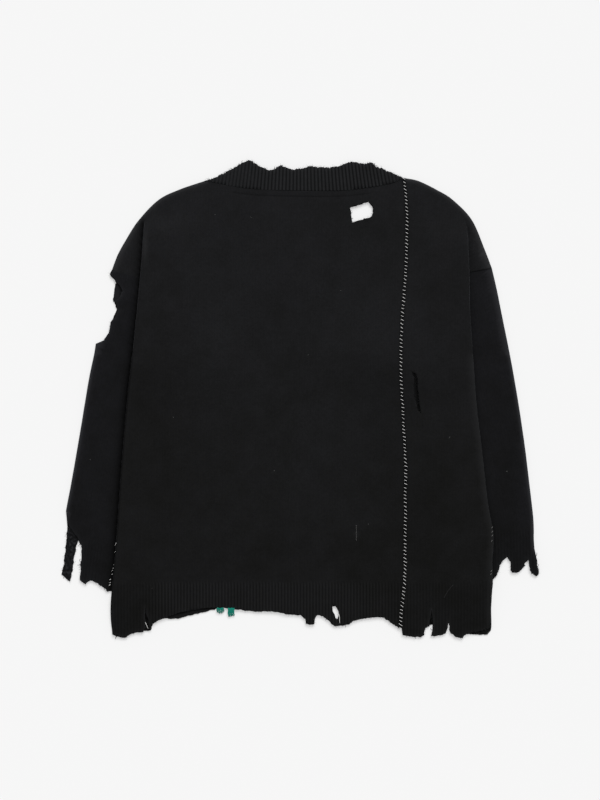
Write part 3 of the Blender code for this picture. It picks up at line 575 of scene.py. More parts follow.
def double_cloth(s, h):
    """Where the middle of the double cloth lies, and which way its upper side faces.

    s is the length of cloth out from the centre line in the row h. It runs over the body,
    round the body's edge, back under it, round again and out into the shoulder or sleeve.
    """
    side = side_of(s)
    a = abs(s)
    crease = side.crease(h)
    if a <= crease:
        return a, MID_ON_FLOOR + side.rise(h) * side.ramp(a, h), 0.0
    turn, run, top = side.turn(h), side.back_run(h), MID_ON_FLOOR + side.rise(h)
    arc = FOLD_RADIUS * turn
    if a <= crease + arc:
        angle = (a - crease) / FOLD_RADIUS
        x = crease + FOLD_RADIUS * math.sin(angle)
        z = top - FOLD_RADIUS * (1 - math.cos(angle))
        flat = 0.0 if side.past_edge(s, h) else ease((UNDERARM - h) / RIM_OPENS)
        return x + (a - x) * flat, z + (top - z) * flat, angle * (1 - flat)
    x = crease + FOLD_RADIUS * math.sin(turn)
    z = top - FOLD_RADIUS * (1 - math.cos(turn))
    if a <= crease + arc + run:
        t = a - crease - arc
        return x + t * math.cos(turn), z - t * math.sin(turn), turn
    x += run * math.cos(turn)
    z -= run * math.sin(turn)
    if a <= crease + 2 * arc + run:
        angle = turn - (a - crease - arc - run) / FOLD_RADIUS
        return (x + FOLD_RADIUS * (math.sin(turn) - math.sin(angle)),
                z + FOLD_RADIUS * (math.cos(turn) - math.cos(angle)), angle)
    return a - side.shift(h), MID_ON_FLOOR, 0.0


def bumps(ridges, x, h):
    """Height of soft ridges at a place."""
    total = 0.0
    for cx, cy, degrees, half_width, half_length, high in ridges:
        angle = math.radians(degrees)
        along = (x - cx) * math.cos(angle) + (h - cy) * math.sin(angle)
        across = (h - cy) * math.cos(angle) - (x - cx) * math.sin(angle)
        total += high * math.exp(-(across / half_width) ** 2 - (along / half_length) ** 2)
    return total


def uneven(x, h, waves):
    """Lift of knit that is nowhere quite flat."""
    across, down, where, high = waves
    return (noise.noise(Vector((x * across, h * down, where))) + 0.5) * high


def body_relief(s, h):
    """Lift of the back over the double cloth: soft ridges, and the pucker beside the darned seam."""
    side = side_of(s)
    x = side.sign * abs(s)
    ramp = side.ramp(abs(s), h)
    slack = 4 * ramp * (1 - ramp) * side.rise(h) / OVER_PLEAT
    fade = ease((side.edge(h) - abs(s)) / RIDGE_FADE)
    lift = slack + bumps(RIDGES, x, h) * fade
    lift += uneven(x, h, UNEVEN_BACK) * fade
    seam = abs(x - seam_x(h))
    if seam < PUCKER_REACH:
        near = math.exp(-(seam / PUCKER_HALF_WIDTH) ** 2)
        even, wavy = PUCKER_HEIGHT
        down, where, across = PUCKER_WAVES
        lift += near * (even + wavy * noise.noise(Vector((h * down, where, x * across))))
        beside, half_width, high = PLEAT_BESIDE_SEAM
        lift += high * math.exp(-((x - seam_x(h) - beside) / half_width) ** 2)
    for cx, cy, r in LUMPS:
        lift += LUMP_HEIGHT * math.exp(-((x - cx) ** 2 + (h - cy) ** 2) / r ** 2)
    return lift - LINKING_DEPTH * linking(x, h)


def sleeve_relief(s, h):
    """Lift of a sleeve's upper half, none where the body lies on it."""
    side = side_of(s)
    x = double_cloth(s, h)[0]
    start, reach = CLEAR_OF_EDGE
    free = ease((x - side.edge(h) - start) / reach)
    up, reach = CLEAR_OF_SHOULDER
    free *= ease((PLEAT_FOOT + up - h) / reach)
    return free * (bumps(SLEEVE_RIDGES, side.sign * x, h) + uneven(x, h, UNEVEN_SLEEVE))


def plain(s, h):
    """No relief."""
    return 0.0


SEAM_ACROSS, SEAM_HEIGHTS = zip(*spline(PATCH_SEAM, PATCH_STEP)[::-1])
NECK_ACROSS, NECK_HEIGHTS = zip(*spline(BACK_NECK, NECK_STEP))


def seam_x(h):
    """Where the stitches of the darned seam run in a row."""
    return float(np.interp(h, SEAM_HEIGHTS, SEAM_ACROSS)) + SEAM_SHIFT


def neck_h(x):
    """Height of the neck seam of the back."""
    return float(np.interp(x, NECK_ACROSS, NECK_HEIGHTS))


def linking(x, h):
    """Share of the sunken line that runs below the neck seam."""
    if not NECK_ACROSS[0] < x < NECK_ACROSS[-1]:
        return 0.0
    ends = ease((LINKING_REACH - abs(x - LINKING_MIDDLE)) / LINKING_FADE)
    return ends * math.exp(-((neck_h(x) - LINKING_DROP - h) / LINKING_HALF_WIDTH) ** 2)


def ribs(x, h, band):
    """Share of a rib's ridge at a point, and of the valley beside it, both 0 outside the ribbed zone."""
    if band is None:
        return 0.0, 0.0
    down = band["top"] - h
    root = x / (1 + band["fan"] * down) - band["lean"] * down
    low, high = band["x"]
    zone = ease(down / RIB_FADE_DOWN) * ease(min(root - low, high - root) / RIB_FADE_ACROSS)
    ridge = abs(math.sin(math.pi * root / band["pitch"])) ** RIB_ROUNDNESS
    return ridge * zone, (1 - ridge) * zone


def rib_lines(band):
    """Lines along the ribs, a quarter of their pitch apart, with points down each of them."""
    quarter = band["pitch"] / 4
    low, high = band["x"]
    count = max(2, round((band["top"] - band["foot"]) / RIB_ROW))
    lines = []
    for k in range(math.ceil(low / quarter), math.floor(high / quarter) + 1):
        line = []
        for i in range(count + 1):
            down = (band["top"] - band["foot"]) * i / count
            line.append(((k * quarter + band["lean"] * down) * (1 + band["fan"] * down), band["top"] - down))
        lines.append(line)
    return lines


def painted_shade(s, h, band, seam_gap):
    """How much painted shade a point of the upper face takes: between ribs, at seams, below the neck seam,
    beside the body's edge.
    """
    side = side_of(s)
    edge, outside = side.edge(h), side.past_edge(s, h)
    x, _, angle = double_cloth(s, h)
    # deep holds the painted shade
    deep = LINKING_SHADE * linking(s, h)
    if band is not None:
        deep = max(deep, float(np.interp(x * side.sign, *zip(*band["deep"]))) * ribs(s, h, band)[1])
    if outside:
        full, reach = ARMHOLE_SHADE[side.sign]
        deep = max(deep, full * math.exp(-(seam_gap / ARMHOLE_HALF_WIDTH) ** 2 - (x - edge) / reach))
    full, half_width = DARNED_SHADE
    deep = max(deep, full * math.exp(-((s - seam_x(h)) / half_width) ** 2))
    share = min(side.rise(h) / OVER_SLEEVE, 1.0)
    if outside and angle < LEVEL_ANGLE:
        full, core, reach = CREVICE_SHADE[side.sign]
        deep = max(deep, full * share * math.exp(-max(x - edge - core, 0.0) / reach))
    elif h < UNDERARM and not outside:
        near = math.exp(-((edge - abs(s)) / RIM_HALF_WIDTH) ** 2)
        deep = max(deep, RIM_SHADE[side.sign] * share * near)
    return deep


def wear_and_highlight_share(s, h, band, fold_gap, raw_gap):
    """Paleness of the upper face: painted highlight with wear on folds and ribs, wear on torn edges and
    streaks.
    """
    side = side_of(s)
    x = side.sign * double_cloth(s, h)[0]
    share, reach = SHOULDER_SHARE, FOLD_HIGHLIGHT_REACH
    if h < UNDERARM:
        share = 1.0
        if not side.past_edge(s, h):
            share, reach = EDGE_HIGHLIGHT[side.sign]
    end = ease((FOLD_HIGHLIGHT_END + reach - FOLD_HIGHLIGHT_REACH - fold_gap) / FOLD_HIGHLIGHT_FADE)
    wear_and_highlight_amount = share * math.exp(-fold_gap / reach) * end
    wear_and_highlight_amount = max(wear_and_highlight_amount, RAW_SHARE * math.exp(-raw_gap / RAW_REACH))
    if band is not None and "wear_and_highlight" in band:
        wear_and_highlight_amount = max(wear_and_highlight_amount, RIB_HIGHLIGHT * float(np.interp(x, *zip(*band["wear_and_highlight"]))) * ribs(s, h, band)[0])
    for cx, cy, half_width, half_height, amount in RUBBED:
        away = ((x - cx) / half_width) ** 2 + ((h - cy) / half_height) ** 2
        wear_and_highlight_amount = max(wear_and_highlight_amount, amount * math.exp(-away))
    return wear_and_highlight_amount


def rows(low, high, step):
    """Heights from low to high, about a step apart."""
    count = max(1, round((high - low) / step))
    return [low + (high - low) * i / count for i in range(count + 1)]


def fold_lines(side):
    """Lines along both folds of the pleat, so that the mesh turns round them in even steps."""
    heights = rows(PLEAT_FOOT - FOLDS_GO_ON, side.pleat_top, FOLD_ROW)[:-1]
    lines = []
    for k in range(FOLD_SEGMENTS + 1):
        for fold in (0, 1):
            line = []
            for h in heights:
                arc = FOLD_RADIUS * side.turn(h)
                start = side.crease(h) + fold * (arc + side.back_run(h))
                line.append((side.sign * (start + arc * k / FOLD_SEGMENTS), h))
            lines.append(line)
    return lines


class Rim:
    """Closed outlines or open lines, asked how near a point is to them."""

    def __init__(self, loops, closed=True):
        self.loops = loops
        self.closed = closed
        self.tree = kdtree.KDTree(sum(len(loop) for loop in loops))
        self.where = []
        for number, loop in enumerate(loops):
            for i, p in enumerate(loop):
                self.tree.insert((p[0], p[1], 0.0), len(self.where))
                self.where.append((number, i))
        self.tree.balance()

    def distance(self, p):
        """How far a point is from the nearest line, exact where it is near."""
        _, index, far = self.tree.find((p[0], p[1], 0.0))
        if far > EXACT_WITHIN:
            return far
        number, i = self.where[index]
        loop = self.loops[number]
        best = far
        p = Vector(p)
        for start, end in ((i - 1, i), (i, (i + 1) % len(loop))):
            if not self.closed and end != start + 1:
                continue
            a, b = Vector(loop[start]), Vector(loop[end])
            run = b - a
            t = min(max((p - a).dot(run) / max(run.length_squared, 1e-9), 0.0), 1.0)
            best = min(best, (p - a - run * t).length)
        return best


def inside(points, loop):
    """Which points lie inside a closed outline."""
    odd = np.zeros(len(points), bool)
    x, y = points[:, 0], points[:, 1]
    for (x0, y0), (x1, y1) in zip(loop, loop[1:] + loop[:1]):
        if y0 != y1:
            odd ^= ((y0 > y) != (y1 > y)) & (x < (x1 - x0) * (y - y0) / (y1 - y0) + x0)
    return odd


def triangles(loops, rim, lines, grid):
    """Cut flat cloth into triangles: its edges, rings inside them, the given lines and a grid between."""
    points = []
    edges = []
    for loop in loops:
        start = len(points)
        points += loop
        edges += [(start + i, start + (i + 1) % len(loop)) for i in range(len(loop))]
    for line in lines:
        edges += [(len(points) + i, len(points) + i + 1) for i in range(len(line) - 1)]
        points += line
    taken = kdtree.KDTree(max(1, sum(len(line) for line in lines)))
    for i, p in enumerate(p for line in lines for p in line):
        taken.insert((p[0], p[1], 0.0), i)
    taken.balance()
    free = []
    for loop in loops:
        closed = loop + loop[:1]
        for ring in EDGE_RINGS:
            for way in (ring, -ring):
                free += [p for p in shifted(closed, way)[:-1] if rim.distance(p) > ring * RING_SHARE]
    xs, hs = zip(*loops[0])
    for j in range(math.floor(min(hs) / grid), math.ceil(max(hs) / grid) + 1):
        for i in range(math.floor(min(xs) / grid), math.ceil(max(xs) / grid) + 1):
            p = (i * grid + (grid / 2 if j % 2 else 0), j * grid)
            if rim.distance(p) > EDGE_RINGS[-1] + grid * GRID_OFF_EDGE:
                free.append(p)
    if lines:
        share, most = GRID_OFF_LINE
        free = [p for p in free if taken.find((p[0], p[1], 0.0))[2] > min(grid * share, most)]
    flat, _, faces, _, _, _ = delaunay_2d_cdt([Vector(p) for p in points + free], edges, [], 0, MERGE)
    flat = np.array([tuple(p) for p in flat])
    faces = np.array([tuple(f) for f in faces])
    centres = flat[faces].mean(axis=1)
    kept = inside(centres, loops[0])
    for hole in loops[1:]:
        kept &= ~inside(centres, hole)
    return flat, faces[kept]


def surface_point(s, h, layer, relief, band=None, edge_gap=FAR_OFF, fold_gap=FAR_OFF, seam_gap=FAR_OFF,
                  torn_curl=0.0):
    """The outer and the inner point of a wall of knit at a place of its cut."""
    x, z, angle = double_cloth(s, h)
    deep, reach = EDGE_ROUND
    round_off = deep * max(1 - edge_gap / reach, 0.0) ** 2 if edge_gap < seam_gap else 0.0
    deep, reach = FOLD_ROUND
    round_off = max(round_off, deep * (1 - math.sqrt(1 - max(1 - fold_gap / reach, 0.0) ** 2)))
    middle = layer * HALF_APART + (relief(s, h) if abs(angle) < LEVEL_ANGLE else 0.0)
    if torn_curl and layer > 0 and edge_gap < seam_gap:
        waves, where = CURL_WAVES
        curl = max(noise.noise(Vector((s * waves, h * waves, where))) + CURL_SHARE, 0.0)
        middle += torn_curl * curl * math.exp(-edge_gap / CURL_REACH)
    high = WALL / 2 + RIB_RIDGE * ribs(s, h, band)[0] - round_off
    sign = side_of(s).sign
    ends = []
    for offset in (middle + layer * high, middle - layer * WALL / 2):
        across = sign * (x + offset * math.sin(angle))
        up = max(z + offset * math.cos(angle), 0.0)
        ends.append(Vector((across * MM, (h - LENGTH / 2) * MM, up * MM)))
    return ends


def new_piece(name, mesh, material):
    """Makes one object of a finished mesh."""
    data = bpy.data.meshes.new(name)
    mesh.to_mesh(data)
    mesh.free()
    data.materials.append(material)
    piece = bpy.data.objects.new(name, data)
    bpy.context.scene.collection.objects.link(piece)
    return piece


def cloth(name, outline, layer, material, holes=(), lines=(), folds=(), raw=(), seams=(), sunken=True,
          level=(), band=None, grid=None, relief=plain, curl=0.0, behind=None):
    """A wall of knit in the upper (1) or under (-1) layer of the double cloth, cut along the outline.

    folds, raw and seams name the parts of its edge that are folded, torn and sewn, and the flag
    after them says that painted shade runs along where it is sewn. Along level seams the two
    cloths run on smoothly. behind gives the painted shade of its inner side where it shows
    through an opening, with a pale share: painted light in the left rip, pale specks in the torn cuff.
    """
    loops = [list(outline)] + [list(hole) for hole in holes]
    rim = Rim(loops)
    fold_rim = Rim([list(line) for line in folds] or [FAR_AWAY], closed=False)
    raw_rim = Rim([list(line) for line in raw] or [FAR_AWAY], closed=False)
    seam_rim = Rim([list(line) for line in seams] or [FAR_AWAY], closed=False)
    level_rim = Rim([list(line) for line in level] or [FAR_AWAY], closed=False)
    flat, faces = triangles(loops, rim, list(lines), grid or sizes().knit_step)
    mesh = bmesh.new()
    # Painted shade, and painted highlight with some wear, for each point
    painted_shade_layer = mesh.verts.layers.float.new("painted_shade")
    wear_and_highlight = mesh.verts.layers.float.new("wear_and_highlight")
    ends = {}
    for i in sorted(set(faces.flatten().tolist())):
        s, h = flat[i]
        fold_gap, raw_gap, seam_gap = (near.distance((s, h)) for near in (fold_rim, raw_rim, seam_rim))
        edge_gap = rim.distance((s, h))
        if level_rim.distance((s, h)) < edge_gap + ON_SEAM:
            edge_gap = FAR_OFF
        pair = surface_point(s, h, layer, relief, band, edge_gap, fold_gap, seam_gap, curl)
        ends[i] = [mesh.verts.new(p) for p in pair]
        ends[i][0][painted_shade_layer] = painted_shade(s, h, band, seam_gap if sunken else FAR_OFF) if layer == 1 else 0.0
        if behind:
            ends[i][1][painted_shade_layer], ends[i][1][wear_and_highlight] = behind(s, h)
        ends[i][0][wear_and_highlight] = wear_and_highlight_share(s, h, band, fold_gap, raw_gap)
    rim_edges = {}
    for a, b, c in faces.tolist():
        mesh.faces.new((ends[a][0], ends[b][0], ends[c][0]))
        mesh.faces.new((ends[c][1], ends[b][1], ends[a][1]))
        for start, end in ((a, b), (b, c), (c, a)):
            if (end, start) in rim_edges:
                del rim_edges[end, start]
            else:
                rim_edges[start, end] = True
    for start, end in rim_edges:
        mesh.faces.new((ends[end][0], ends[start][0], ends[start][1], ends[end][1]))
        if max(level_rim.distance(flat[start]), level_rim.distance(flat[end])) < ON_SEAM:
            mesh.edges.get((ends[start][0], ends[end][0])).smooth = False
    for face in mesh.faces:
        face.smooth = True
    bmesh.ops.recalc_face_normals(mesh, faces=mesh.faces)
    return new_piece(name, mesh, material)


def behind_openings(s, h):
    """Painted shade on the front's inner side, where it shows through the slits of the back; no rub."""
    full, reach = OPENING_SHADE
    return full * math.exp(-(OPENING_LINES.distance((s, h)) / reach) ** 2), 0.0


def behind_rip(s, h):
    """Painted shade and light inside the left sleeve's under half by its rip; dark and pale specks in its
    torn cuff.
    """
    if h < LEFT_CUFF_UNDER[0][1]:
        shade, rub = BROKEN_STITCHES
        rough = sum(noise.noise(Vector((s * across, h * down, where))) * part
                    for across, down, where, part in BROKEN_WAVES)
        return shade * max(rough, 0.0), rub * max(-rough, 0.0)
    full, reach = RIP_EDGE_SHADE
    x, middle, half_width, half_height, amount = RIP_PAINTED_LIGHT
    away = ((s + SIDES[LEFT].shift(h) - x) / half_width) ** 2 + ((h - middle) / half_height) ** 2
    return full * math.exp(-(RIP_LINES.distance((s, h)) / reach) ** 2), amount * math.exp(-away)


def cut_area(loops):
    """Flat size and area of a cut, in metres, its holes taken out."""
    xs, hs = zip(*loops[0])
    total = 0.0
    for number, loop in enumerate(loops):
        area = sum(a[0] * b[1] - b[0] * a[1] for a, b in zip(loop, loop[1:] + loop[:1])) / 2
        total += abs(area) if number == 0 else -abs(area)
    return ((max(xs) - min(xs)) * MM, (max(hs) - min(hs)) * MM), total * MM * MM


def place(piece, node, slot, loops, held, rests_on):
    """Ties a knitted piece to the frame and hides the frame's part that it stands for."""
    flat, area = cut_area(loops)
    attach(piece, "root")
    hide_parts(node)


class Wire:
    """A shader socket that takes part in expressions; each one adds its Math node."""

    def __init__(self, finish, socket):
        self.finish = finish
        self.socket = socket

    def maths(self, operation, *values):
        return self.finish.node("ShaderNodeMath", {"operation": operation}, dict(enumerate(values)))

    def __add__(self, other):
        return self.maths("ADD", self, other)

    def __radd__(self, other):
        return self.maths("ADD", other, self)

    def __sub__(self, other):
        return self.maths("SUBTRACT", self, other)

    def __rsub__(self, other):
        return self.maths("SUBTRACT", other, self)

    def __mul__(self, other):
        return self.maths("MULTIPLY", self, other)

    def __rmul__(self, other):
        return self.maths("MULTIPLY", other, self)

    def __truediv__(self, other):
        return self.maths("DIVIDE", self, other)

    def __abs__(self):
        return self.maths("ABSOLUTE", self)

    def fract(self):
        return self.maths("FRACT", self)

    def clamp(self):
        return self.finish.node("ShaderNodeClamp", {}, {"Value": self})


class Finish:
    """One material and its nodes."""

    def __init__(self, name):
        self.material = bpy.data.materials.new(name)
        self.material.use_nodes = True
        self.tree = self.material.node_tree
        self.shader = self.tree.nodes["Principled BSDF"]

    def node(self, kind, settings=None, inputs=None, out=0):
        """Adds a node: its settings first, then the values or links of its sockets."""
        node = self.tree.nodes.new(kind)
        for key, value in (settings or {}).items():
            setattr(node, key, value)
        self.feed(node, inputs or {})
        return Wire(self, node.outputs[out])

    def feed(self, node, inputs):
        for key, value in inputs.items():
            if isinstance(value, Wire):
                self.tree.links.new(value.socket, node.inputs[key])
            else:
                node.inputs[key].default_value = value

    def noise(self, place, scale, detail=3.0, roughness=0.6):
        values = {"Vector": place, "Scale": scale, "Detail": detail, "Roughness": roughness}
        return self.node("ShaderNodeTexNoise", {}, values, out="Fac")

    def soft_place(self, place, x, h, half_width, half_height, amount):
        """A share that is full in the middle of an oval and fades out to its edge, in millimetres."""
        scale = (1 / (half_width * MM), 1 / (half_height * MM), 0.0)
        middle = (x / half_width, (h - LENGTH / 2) / half_height, 0.0)
        there = self.node("ShaderNodeVectorMath", {"operation": "MULTIPLY"}, {0: place, 1: scale})
        away = self.node("ShaderNodeVectorMath", {"operation": "DISTANCE"}, {0: there, 1: middle},
                         out="Value")
        values = {"Value": away, "From Min": 1.0, "From Max": 0.0, "To Min": 0.0, "To Max": amount}
        return self.node("ShaderNodeMapRange", {"interpolation_type": "SMOOTHSTEP"}, values)

    def mix(self, share, low, high, blend="MIX"):
        """Mix two colours."""
        node = self.tree.nodes.new("ShaderNodeMix")
        node.data_type = "RGBA"
        node.blend_type = blend
        self.feed(node, {0: share, 6: low, 7: high})
        return Wire(self, node.outputs[2])

    def bump(self, height, distance, strength):
        values = {"Height": height, "Distance": distance, "Strength": strength}
        normal = self.node("ShaderNodeBump", {}, values, out="Normal")
        self.feed(self.shader, {"Normal": normal})


def colour4(colour, share=1.0):
    return (colour[0] * share, colour[1] * share, colour[2] * share, 1.0)


def wool_finish(name, colour, lean=0.0, start=0.0):
    """Dense black stockinette: columns of V stitches under a nap of loose fibres.

    lean turns the columns, in degrees, and start moves them across, in millimetres.
    """
    wool = Finish(name)
    place = wool.node("ShaderNodeTexCoord", out="Object")
    spot = wool.node("ShaderNodeSeparateXYZ", {}, {0: place})
    x, y = Wire(wool, spot.socket.node.outputs[0]), Wire(wool, spot.socket.node.outputs[1])
    turn = math.radians(lean)
    across = x * math.cos(turn) + y * math.sin(turn)
    up = y * math.cos(turn) - x * math.sin(turn)
    wale = sizes().wale * MM
    column = (across / wale + (0.5 + start * MM / wale)).fract()
    off_middle = abs(column - 0.5) * 2.0
    leg = 1.0 - abs((up / (wale * 0.74) - off_middle * 0.6).fract() - 0.5) * 2.0
    crown = (1.0 - abs(off_middle - 0.42) * 1.7).clamp()
    knit = crown * (0.4 + leg * 0.6)
    nap, fleece, patchy, broad = (wool.noise(place, *grain) for grain in (NAP, FLEECE, PATCHY, BROAD))
    # Painted shade, and painted highlight with some wear, as the mesh carries them
    deep = wool.node("ShaderNodeAttribute", {"attribute_name": "painted_shade"}, out="Fac")
    wear_and_highlight = wool.node("ShaderNodeAttribute", {"attribute_name": "wear_and_highlight"}, out="Fac")
    tone = (knit * 0.5 + nap * 0.8 + (fleece - 0.5) * 0.55 - 0.15).clamp()
    shade = wool.mix(tone, colour4(colour, 0.45), colour4(colour, 1.55))
    # Painted light falloff: lighter towards the top and the left, with random tone and the soft places of
    # TONES
    falloff_and_tone = 0.47 + y * 1.05 - x * 0.28 + (broad - 0.5) * 0.6 + (patchy - 0.5) * 0.8
    for cx, cy, half_width, half_height, amount in TONES:
        falloff_and_tone = falloff_and_tone + wool.soft_place(place, cx, cy, half_width, half_height, amount)
    falloff_and_tone = falloff_and_tone.clamp()
    pale = wool.mix(falloff_and_tone, (0.69, 0.685, 0.63, 1.0), (1.34, 1.345, 1.42, 1.0))
    # Painted highlight with some wear lifts the colour on folds, edges and ribs
    with_wear_and_highlight = wool.mix(wear_and_highlight * (0.35 + nap * 1.1), wool.mix(1.0, shade, pale, "MULTIPLY"), colour4(colour, 4.5))
    # Painted shade takes the colour towards black
    wool.feed(wool.shader, {"Base Color": wool.mix(deep * 0.8, with_wear_and_highlight, (0.0, 0.0, 0.0, 1.0))})
    wool.feed(wool.shader, {"Roughness": 0.84 + fleece * 0.14, "Metallic": 0.0})
    wool.feed(wool.shader, {"Specular IOR Level": 0.06, "Sheen Weight": 0.06, "Sheen Roughness": 0.35})
    wool.feed(wool.shader, {"Sheen Tint": (0.75, 0.77, 0.85, 1.0)})
    wool.bump(knit * 0.6 + nap * 0.3 + fleece * 0.25, 0.0007, 0.75)
    return wool.material


def yarn_finish(name, colour, twist=1.0):
    """Plied yarn: fine slanting shade of its plies under loose fibre."""
    yarn = Finish(name)
    place = yarn.node("ShaderNodeTexCoord", out="Object")
    fibre = yarn.noise(place, 2400.0, 3.0, 0.7)
    spot = yarn.node("ShaderNodeSeparateXYZ", {}, {0: place})
    x, y = Wire(yarn, spot.socket.node.outputs[0]), Wire(yarn, spot.socket.node.outputs[1])
    ply = abs(((x * 0.7 - y) / 0.0011).fract() - 0.5) * 2.0
    tone = (ply * 0.5 * twist + fibre * 0.7).clamp()
    yarn.feed(yarn.shader, {"Base Color": yarn.mix(tone, colour4(colour, 0.55), colour4(colour, 1.12))})
    yarn.feed(yarn.shader, {"Roughness": 0.78 + fibre * 0.2, "Metallic": 0.0, "Specular IOR Level": 0.3})
    yarn.bump(ply * 0.6 + fibre * 0.4, 0.0003, 0.6)
    return yarn.material


def floor_finish(colour):
    """Smooth pale paper with a breath of grain, on a table that glows a little from below."""
    paper = Finish("pale_floor")
    place = paper.node("ShaderNodeTexCoord", out="Object")
    grain = paper.noise(place, 3.0, 2.0, 0.4)
    paper.feed(paper.shader, {"Base Color": paper.mix(grain, colour4(colour, 0.995), colour4(colour, 1.0))})
    paper.feed(paper.shader, {"Roughness": 0.95, "Specular IOR Level": 0.0})
    paper.feed(paper.shader, {"Emission Color": (1.0, 1.0, 1.0, 1.0), "Emission Strength": TABLE_GLOW})
    return paper.material


def tube(mesh, path, radius, sides, taper=1.0):
    """Adds a closed yarn along a path, thinned to a share of its radius at the end."""
    rings = []
    last = len(path) - 1
    for i, p in enumerate(path):
        along = (path[min(i + 1, last)] - path[max(i - 1, 0)]).normalized()
        side = along.cross(Vector((0.13, 0.29, 0.95))).normalized()
        other = along.cross(side)
        r = radius * (1 + (taper - 1) * i / last)
        ring = []
        for k in range(sides):
            angle = 2 * math.pi * k / sides
            ring.append(mesh.verts.new(p + side * (r * math.cos(angle)) + other * (r * math.sin(angle))))
        rings.append(ring)
    for low, high in zip(rings, rings[1:]):
        for k in range(sides):
            mesh.faces.new((low[k], low[(k + 1) % sides], high[(k + 1) % sides], high[k]))
    mesh.faces.new(rings[0][::-1])
    mesh.faces.new(rings[-1])


def yarn_piece(name, mesh, material):
    """Makes one object of a mesh of yarns and ties it to the body."""
    bmesh.ops.recalc_face_normals(mesh, faces=mesh.faces)
    piece = new_piece(name, mesh, material)
    piece.data.shade_smooth()
    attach(piece, "root")
    return piece


def body_edge(side, low):
    """The body's edge in the cut, from below the underarm down to the hem."""
    return [(side.sign * side.edge(h), h) for h in rows(low, UNDERARM - RIM_OPENS, SEAM_STEP)[::-1]]


def armhole(side, tip, inner_height):
    """The armhole seam: in from the shoulder tip, round the inner fold and out to the underarm."""
    turned = side.crease(inner_height) + FOLD_RADIUS * math.pi * 1.5 + side.back_run(inner_height)
    end = side.crease(UNDERARM) + FOLD_RADIUS * math.pi / 2
    line = unfolded([tip]) + [(side.sign * (turned + FOLD_RADIUS * math.pi), inner_height)]
    line += [(side.sign * turned, inner_height), (side.sign * end, UNDERARM)]
    return dense(line, SEAM_STEP)


def underarm_seam(side):
    """The sleeve's inner edge: from the underarm back round the inner fold, then to the cuff."""
    line = [(side.sign * (side.crease(UNDERARM) + FOLD_RADIUS * math.pi / 2), UNDERARM)]
    for turns, drop in OFF_THE_FOLD:
        h = PLEAT_FOOT - drop
        line.append((side.sign * (side.crease(h) + FOLD_RADIUS * math.pi * turns + side.back_run(h)), h))
    out, down = SLEEVE_CORNER
    line += unfolded([(side.sign * (side.tuck + out), PLEAT_FOOT - down)])
    line += unfolded([(side.sign * side.cuff_inner[0], side.cuff_inner[1])])
    return dense(line, SEAM_STEP)


OPENING_LINES = Rim([spline(line, SHADE_STEP) for line in UNDER_OPENINGS], closed=False)
RIP_LINES = Rim([unfolded(spline(RIP_SHADE, SHADE_STEP))], closed=False)
LEFT_ARM = armhole(SIDES[LEFT], LEFT_SHOULDER[-1], LEFT_ARMHOLE_INNER)
RIGHT_ARM = armhole(SIDES[RIGHT], RIGHT_SHOULDER[-1], RIGHT_ARMHOLE_INNER)

# Ribbed zones: the ribs' top, foot, pitch, lean and fan, their ends across, and the painted shade between
# them and the painted highlight with some wear on them from left to right
HEM_BAND = {"top": HEM_RIB_TOP, "foot": -4.0, "pitch": 4.7, "lean": 0.0, "fan": 0.0, "x": (-300, 300),
            "deep": [(-300, 0.2), (-235, 0.3), (-205, 0.55), (0, 0.5), (150, 0.42), (180, 0.25), (300, 0.2)],
            "wear_and_highlight": [(-235, 0.0), (-205, 1.0), (100, 0.9), (150, 0.2), (300, 0.0)]}
NECK_BAND = {"top": 730.0, "foot": 664.0, "pitch": 4.95, "lean": 0.0, "fan": 0.0016, "x": (-133, 144),
             "deep": [(-100, 0.55), (-60, 0.85), (120, 0.95), (145, 0.5)],
             "wear_and_highlight": [(-100, 0.6), (-60, 1.2), (120, 1.2), (145, 0.6)]}
CUFF_VALLEY_SHADE = [(-400, 0.1), (400, 0.14)]


